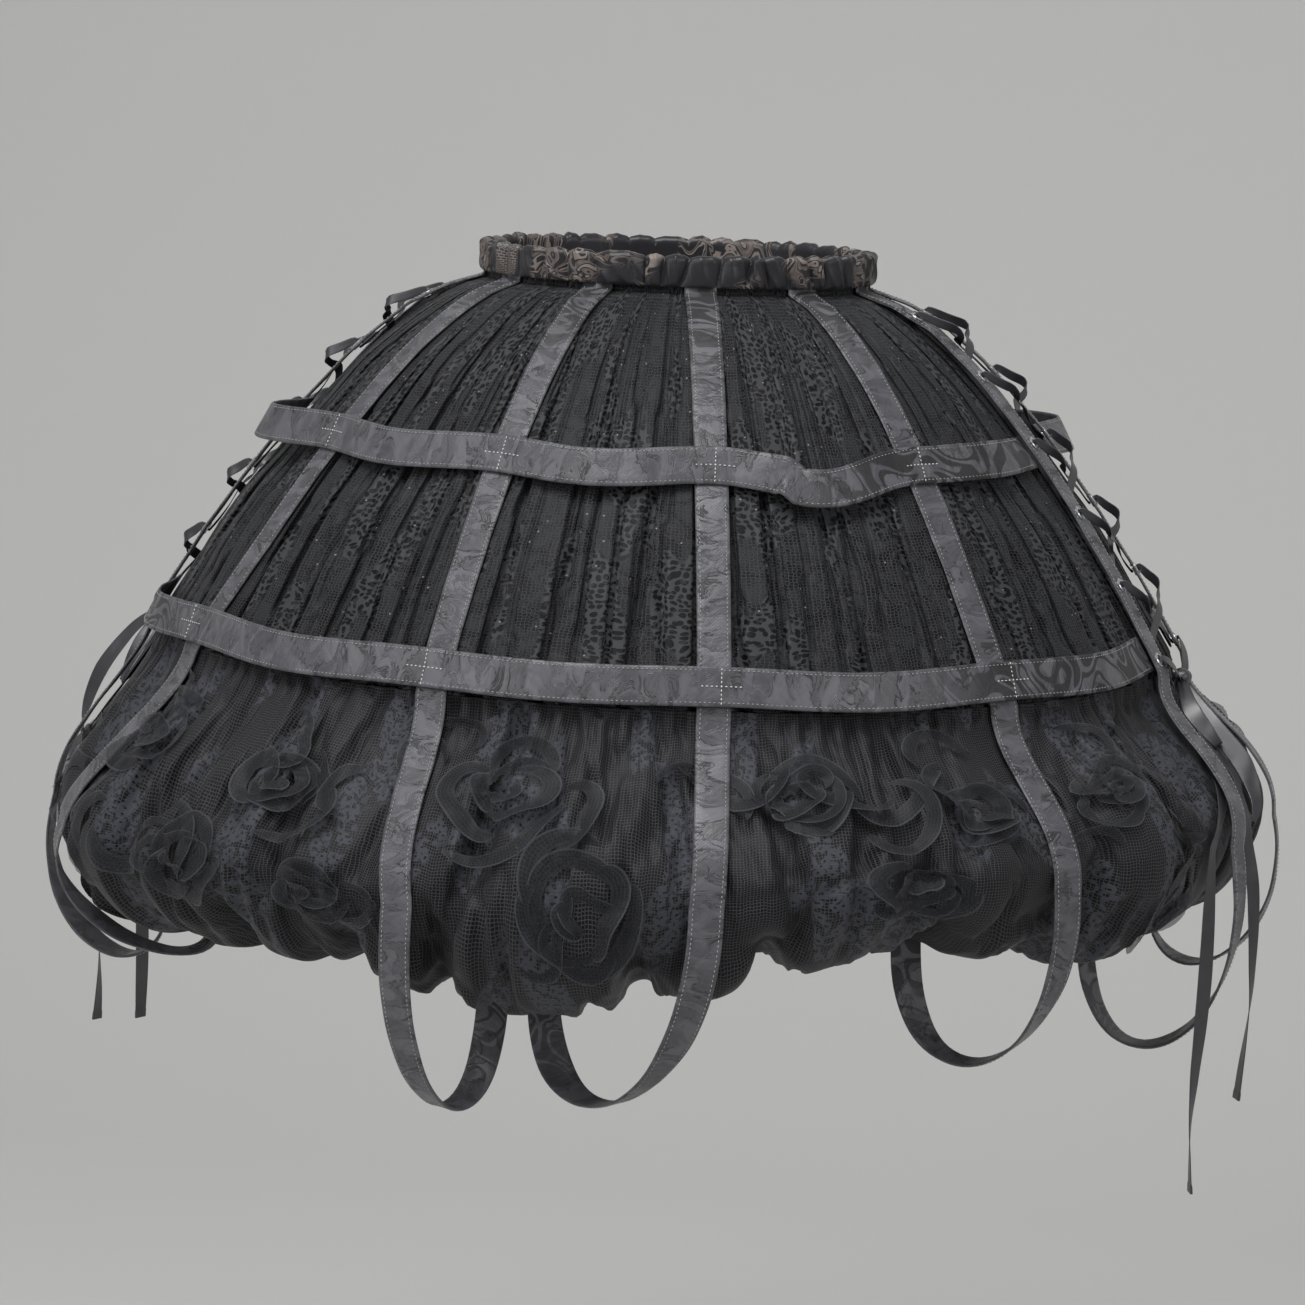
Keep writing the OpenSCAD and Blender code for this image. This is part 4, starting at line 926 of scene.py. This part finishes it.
# Satin gives the eye a near-black ribbon with a smooth gloss and a slightly worn face.
satin, tree, shader = new_material("polyester satin ribbon", Specular_IOR_Level=1.0, Anisotropic=0.4)
place = add(tree, "UVMap", uv_map="cloth")
mottle = add(tree, "TexNoise", {"Vector": place, "Scale": every(11.1), "Detail": 2.0})
shade = add(tree, "Mix", {0: mottle, 6: SATIN_DARK, 7: SATIN_WORN})
gloss = add(tree, "MapRange", {"Value": mottle, "To Min": 0.3, "To Max": 0.45})
weave = add(tree, "TexWave", {"Vector": place, "Scale": every(0.748, WAVE), "Distortion": 0.8})
relief = add(tree, "Bump", {"Height": weave, "Strength": 0.12, "Distance": 0.1*MM})
join(shader, {"Base Color": shade, "Roughness": gloss, "Normal": relief})


def where(side, s):
    """Half and number of the lacing strap on the -1 or +1 side of a row of lacing."""
    if side == "right":
        return ("front", 5) if s < 0 else ("back", 0)
    return ("back", 5) if s < 0 else ("front", 0)


def hole(side, s, k):
    """Centre and outward normal of an eyelet."""
    half, number = where(side, s)
    drops = eyelet_drop(k) + np.array([-EYELET_PAD, EYELET_PAD])
    ends = strap_at(strap_phi(half, number, drops), drops, room(number, drops))
    round_it = lace_round(strap_phi(half, number, eyelet_drop(k)), eyelet_drop(k))
    return ends.mean(axis=0), unit(np.cross(ends[0] - ends[1], -round_it))


def hole_phi(side, s, drop):
    """Angle of a lacing strap, within half a turn of its side."""
    phi = strap_phi(*where(side, s), drop)
    return phi - 360*np.round((phi - SIDES[side])/360)


def crossing(side, s, k, lift):
    """Ribbon from an eyelet to the next one down across the gap: places, widths and shares of its turn on edge."""
    (a, a_out), (b, b_out) = hole(side, s, k), hole(side, -s, k + 1)
    arch = ARCH*(1.0, 1.25, 0.85, 1.1, 0.9)[k]
    path = [(a, BUNCH_W, 0.5), (a + a_out*OVER_OUT, BUNCH_W + 1, 1)]
    # Share of the way down and across, distance off the strap, share of the full width and of the turn on edge
    steps = ((0.06, 0.03, OVER_OUT + 0.5*arch, 0.62, 0.9), (0.15, 0.05, OVER_OUT + arch, 0.68, 0.75),
             (0.25, 0.1, OVER_OUT + 0.85*arch, 0.58, 0.4), (0.34, 0.2, OVER_OUT + 0.3*arch, 0.5, 0.15),
             (0.46, 0.4, lift + 1.5, 0.75, 0.1), (0.76, 0.78, UNDER_OUT, 0.7, 0))
    for t, off, out, wide, edge in steps:
        drop = blend(eyelet_drop(k), eyelet_drop(k + 1), t)
        phi = blend(hole_phi(side, s, drop), hole_phi(side, -s, drop), off)
        path.append((strap_at(phi, drop, room(0, drop) + out), RIBBON_W*wide, edge))
    return path + [(b + b_out*UNDER_OUT, BUNCH_W, 0)]


def knot_at(side):
    """Middle of a bow's knot, and its angle."""
    phi = (hole_phi(side, 1, KNOT_DROP) + hole_phi(side, -1, KNOT_DROP))/2
    return lace_at(phi, KNOT_DROP, lace_depth(SEAM_DROP) + KNOT_OUT), phi


def ribbon_path(side, s):
    """Ribbon from the top of the lacing down to the knot."""
    path = [step for k in range(EYELET_COUNT - 1) for step in crossing(side, s if k % 2 == 0 else -s, k, s*2.0)]
    end = s if EYELET_COUNT % 2 else -s
    middle, phi = knot_at(side)
    place, out = hole(side, end, EYELET_COUNT - 1)
    stop = middle + lace_round(phi, KNOT_DROP)*end*(KNOT_HALF + KNOT_R + 2*FIT_GAP)
    lift = place + out*OVER_OUT
    return path + [(place, BUNCH_W, 0), (lift, BUNCH_W, 0), (blend(lift, stop, 0.3) + out*2, RIBBON_W, 0),
                   (blend(lift, stop, 0.7) + out*2, RIBBON_W, 0), (stop, RIBBON_W*0.6, 0)]


def curve(points, step=2.0):
    """Smooth path through points, and the run of each new point counted in old points."""
    points = np.asarray(points, float)
    padded = np.concatenate([2*points[:1] - points[1:2], points, 2*points[-1:] - points[-2:-1]])
    places = []
    for k in range(len(points) - 1):
        count = max(2, int(np.linalg.norm(points[k + 1] - points[k])/step))
        places.extend(k + np.arange(count)/count)
    places = np.array(places + [len(points) - 1])
    k = np.minimum(places.astype(int), len(points) - 2)
    t = (places - k)[:, None]
    p0, p1, p2, p3 = (padded[k + n] for n in range(4))
    line = 0.5*(2*p1 + (p2 - p0)*t + (2*p0 - 5*p1 + 4*p2 - p3)*t*t + (3*p1 - p0 - 3*p2 + p3)*t**3)
    return line, places


def smooth(vectors, reach):
    """Vectors evened out over their neighbours along a path."""
    window = np.ones(2*reach + 1)/(2*reach + 1)
    return np.stack([np.convolve(np.pad(vectors[:, k], reach, mode="edge"), window, mode="valid") for k in range(3)],
                    axis=1)


for number, side in enumerate(SIDES):
    top = [(hole(side, s, 0)[0] + hole(side, s, 0)[1]*UNDER_OUT, BUNCH_W, 0) for s in (-1, 1)]
    bar = [(strap_at(blend(hole_phi(side, -1, FIRST_EYELET), hole_phi(side, 1, FIRST_EYELET), t), FIRST_EYELET,
                     room(0, FIRST_EYELET) + UNDER_OUT), RIBBON_W, 0) for t in (0.3, 0.5, 0.7)]
    path = ribbon_path(side, -1)[::-1] + top[:1] + bar + top[1:] + ribbon_path(side, 1)
    points, places = curve([p for p, _, _ in path])
    width, edge = (np.interp(places, range(len(path)), [step[k] for step in path]) for k in (1, 2))
    drop = np.minimum(-points[:, 2], SEAM_DROP - 3)
    slope = unit(lace_at(SIDES[side], drop - 3, 0) - lace_at(SIDES[side], drop + 3, 0))
    round_it, ahead = lace_round(SIDES[side], drop), unit(np.gradient(points, axis=0))
    flat = blend(np.cross(np.cross(round_it, slope), ahead), np.cross(round_it, ahead), edge[:, None])
    grid, uv, _ = strip(points, smooth(flat, 3), width, RIBBON_T, 160 + number, 0.15)
    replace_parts(cloth(f"lacing_{side}_ribbon", [(grid, uv)], satin), f"lacing_{side}")

# Bows: the same ribbon, knotted at the foot of each lacing. Its loops stand on edge, face to the front, and turn over
# at their ends to run back to the knot on the tier.
BOW_TILT = 0.4
# Degrees towards the front, share of the way down the tier, distance off it, width, and share of the turn onto it
BOW_LOOPS = {
    "right": (((0, 0.06, 6, 4.5, 0), (3, 0.16, 8, 8, 0), (5.5, 0.3, 8, 11, 0), (6, 0.45, 7, 9, 0.2),
               (5, 0.53, 4.5, 5, 0.7), (3.5, 0.42, 3.5, 9, 0.3), (1.5, 0.25, 3.5, 9, 0.2), (0, 0.06, 3, 4.5, 0.5)),
              ((-0.5, 0.06, 5, 4.5, 0), (1, 0.2, 7, 9, 0), (3, 0.42, 7.5, 12, 0), (4.5, 0.66, 7, 12, 0),
               (6, 0.85, 5, 8, 0.5), (8, 0.93, 3, 6, 1), (9, 0.88, 2.5, 7, 1), (8, 0.6, 2.5, 8, 1),
               (3, 0.2, 3, 6, 1), (0, 0.06, 3, 4.5, 1))),
    "left": (((0, 0.06, 6, 4.5, 0.2), (2, 0.15, 9, 8, 0.1), (4, 0.3, 9, 10, 0), (4, 0.42, 7, 8, 0.2),
              (3, 0.5, 4, 5, 0.7), (2, 0.4, 3, 8, 0.3), (1, 0.22, 4, 8, 0.2), (0, 0.06, 3, 4.5, 0.5)),
             ((0, 0.06, 6, 4.5, 0.3), (1, 0.15, 14, 7, 0.3), (1, 0.33, 21, 9, 0.2), (1, 0.55, 21, 11, 0),
              (1, 0.72, 14, 9, 0.3), (1.5, 0.79, 7, 6, 0.8), (3, 0.7, 3, 8, 1), (3, 0.4, 2.5, 9, 1),
              (1, 0.15, 3, 6, 1), (0, 0.06, 3, 4.5, 1)))}
for number, side in enumerate(SIDES):
    middle, phi = knot_at(side)
    front = -math.copysign(1, SIDES[side])
    grids = []
    for loop in BOW_LOOPS[side]:
        ahead, along, off, width, flat = np.array(loop).T
        points, places = curve(tier_at(phi + front*ahead, along, on_tier(along) + off))
        ahead, along, width, flat = (np.interp(places, range(len(loop)), v) for v in (ahead, along, width, flat))
        turn = phi + front*ahead
        back = -front*tier_round(turn, along)
        facing = unit(tier_at(turn, along, 9.0) - tier_at(turn, along, 0.0)) + BOW_TILT*back
        sides = smooth(unit(blend(facing, back, flat[:, None])), 4)
        grids.append(strip(points, sides, width, RIBBON_T, 170 + number, 0.3)[:2])
    turn, height = np.meshgrid(np.linspace(0, 2*np.pi, 49), np.linspace(-1, 1, 25))
    across = lace_round(phi, KNOT_DROP)
    up = np.array([0, 0, 1.0])
    out = np.cross(across, up)
    full = KNOT_R*np.sqrt(np.clip(1 - 0.92*height**4, 0.05, 1))*(1 + 0.07*np.cos(3*turn + 4*height))
    knot = (middle + across*(height*(KNOT_HALF + KNOT_R*0.8))[..., None] + up*(full*np.cos(turn))[..., None]
            + out*(full*np.sin(turn))[..., None])
    grids.append((knot, np.stack([height*9, turn*6], axis=-1)*MM))
    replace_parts(cloth(f"bow_{side}_ribbon", grids, satin), f"bow_{side}")

# Ribbon tails: four free ends of the ribbon that fall over the tier and hang straight, turning a little, with
# their ends folded over and sewn.
TAILS = {
    "right_long": ((322, -15, -242), (326, -22, -248), (330, -29, -254), (337, -41, -262), (344, -53, -270),
                   (350, -68, -279), (356, -83, -287), (359, -98, -297), (359, -112, -306), (358, -120, -314),
                   (357, -125, -321), (357, -125, -350), (357, -126, -385), (356, -126, -420), (354, -125, -455),
                   (353, -124, -490), (355, -124, -525)),
    "right_short": ((322, -3, -242), (327, -7, -248), (332, -12, -254), (340, -21, -262), (347, -30, -270),
                    (355, -41, -279), (363, -52, -287), (367, -61, -296), (371, -69, -305), (373, -74, -313),
                    (374, -77, -320), (379, -79, -350), (381, -79, -385), (381, -79, -420), (378, -78, -455),
                    (376, -78, -478)),
    "left_long": ((-322, -5, -242), (-327, -2, -251), (-332, 1, -261), (-340, 5, -273), (-349, 10, -285),
                  (-358, 15, -298), (-366, 20, -310), (-372, 23, -322), (-377, 26, -334), (-380, 28, -350),
                  (-380, 28, -385), (-379, 29, -420), (-379, 28, -455), (-378, 28, -490), (-379, 27, -519)),
    "left_short": ((-322, 6, -242), (-326, 14, -251), (-331, 22, -261), (-338, 32, -273), (-346, 43, -285),
                   (-353, 54, -298), (-360, 65, -310), (-364, 73, -322), (-368, 81, -334), (-369, 86, -350),
                   (-370, 87, -385), (-370, 86, -420), (-369, 86, -455), (-368, 85, -490), (-369, 86, -531))}
TAIL_TURN, TURN_FROM, TURN_OVER, TURN_WAVE = 0.7, 90.0, 60.0, 46.0
FOLD_L, FOLD_T = 5.0, 2.6
for number, (name, route) in enumerate(TAILS.items()):
    points, _ = curve(route)
    run = run_along(points)
    flat = unit(np.cross([points[-1][0], points[-1][1], 0], [0, 0, -1]))
    outward = np.cross([0, 0, 1], flat)
    turn = TAIL_TURN*ease((run - TURN_FROM)/TURN_OVER)*np.sin(run/TURN_WAVE + 1.7*number)
    sides = flat*np.cos(turn)[:, None] + outward*np.sin(turn)[:, None]
    thick = RIBBON_T*np.where(run > run[-1] - FOLD_L, FOLD_T, 1.0)
    grid, uv, _ = strip(points, sides, RIBBON_W, thick, 180 + number, 0.2)
    piece = cloth(f"tail_{name}_ribbon", [(grid, uv)], satin)
    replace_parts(piece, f"tail_{name}")
    path = (points*MM).tolist()

# Studio: pale grey paper that curves from the floor up into a backdrop, three soft lamps and a plain sky.
# The paper shows on its front only, so that a camera behind or below it still sees the skirt.
FLOOR_Z, FLOOR_FRONT, FLOOR_BACK, SWEEP = -0.95, -3.0, 1.2, 1.2
WALL_TOP, PAPER_HALF_W = 4.0, 5.0
PAPER, SKY, AIM = "#cbcbc9", 0.36, (0, 0, -0.2)
# Place, size and power of each lamp
LAMPS = {"key": ((-0.4, -1.2, 2.4), 1.8, 66), "left": ((-1.8, -2.2, 0.9), 1.6, 15),
         "right": ((2.2, -1.7, 0.9), 1.4, 13)}
backdrop, tree, shader = new_material("grey paper", Base_Color=PAPER, Roughness=0.9, Specular_IOR_Level=0.1)
behind = add(tree, "NewGeometry").outputs["Backfacing"]
one_sided = add(tree, "MixShader", {0: behind, 1: shader, 2: add(tree, "BsdfTransparent")})
join(tree.nodes["Material Output"], {"Surface": one_sided})
profile = [(FLOOR_FRONT, FLOOR_Z), (FLOOR_BACK, FLOOR_Z)]
for a in np.linspace(0.1, math.pi/2, 14):
    profile.append((FLOOR_BACK + SWEEP*math.sin(a), FLOOR_Z + SWEEP*(1 - math.cos(a))))
profile.append((FLOOR_BACK + SWEEP, WALL_TOP))
mesh = bpy.data.meshes.new("backdrop")
mesh.from_pydata([(x, y, z) for y, z in profile for x in (-PAPER_HALF_W, PAPER_HALF_W)], [],
                 [(2*k, 2*k + 1, 2*k + 3, 2*k + 2) for k in range(len(profile) - 1)])
mesh.shade_smooth()
mesh.materials.append(backdrop)
floor = bpy.data.objects.new("backdrop", mesh)
bpy.context.scene.collection.objects.link(floor)
world = bpy.data.worlds.new("studio")
bpy.context.scene.world = world
world.use_nodes = True
join(world.node_tree.nodes["Background"], {"Color": "#ffffff", "Strength": SKY})
for name, (place, size, power) in LAMPS.items():
    lamp = bpy.data.lights.new(name, "AREA")
    lamp.size, lamp.energy = size, power
    holder = bpy.data.objects.new(name, lamp)
    holder.location = place
    holder.rotation_euler = (Vector(AIM) - Vector(place)).to_track_quat("-Z", "Y").to_euler()
    bpy.context.scene.collection.objects.link(holder)
bpy.context.scene.view_settings.view_transform = "Standard"

# Camera: a long lens a little above the waist and to the right of the front, tilted by two degrees.
# It is turned so that the middle of the waist falls on its own pixel of the picture.
PHOTO, WAIST_PIXEL = 1305, (677.1, 262.5)
AZIMUTH, ELEVATION, ROLL = math.radians(11.67), math.radians(3.76), math.radians(2.02)
DISTANCE, MM_PER_PIXEL = 2600.0, 0.62
level = math.cos(ELEVATION)
toward = np.array([math.sin(AZIMUTH)*level, -math.cos(AZIMUTH)*level, math.sin(ELEVATION)])
right = np.array([math.cos(AZIMUTH), math.sin(AZIMUTH), 0])
up = np.cross(toward, right)
tilted_right = right*math.cos(ROLL) + up*math.sin(ROLL)
tilted_up = up*math.cos(ROLL) - right*math.sin(ROLL)
offset = [PHOTO/2 - pixel for pixel in WAIST_PIXEL]
centre = (tilted_right*offset[0] - tilted_up*offset[1])*MM_PER_PIXEL
back = unit(toward*DISTANCE - centre)
camera_right = unit(np.cross(tilted_up, back))
lens = bpy.data.cameras.new("camera")
lens.lens = lens.sensor_width*DISTANCE/MM_PER_PIXEL/PHOTO
camera = bpy.data.objects.new("camera", lens)
camera.matrix_world = Matrix([[*row] for row in np.column_stack(
    [camera_right, np.cross(back, camera_right), back, toward*DISTANCE*MM])] + [[0, 0, 0, 1]])
bpy.context.scene.collection.objects.link(camera)
bpy.context.scene.camera = camera
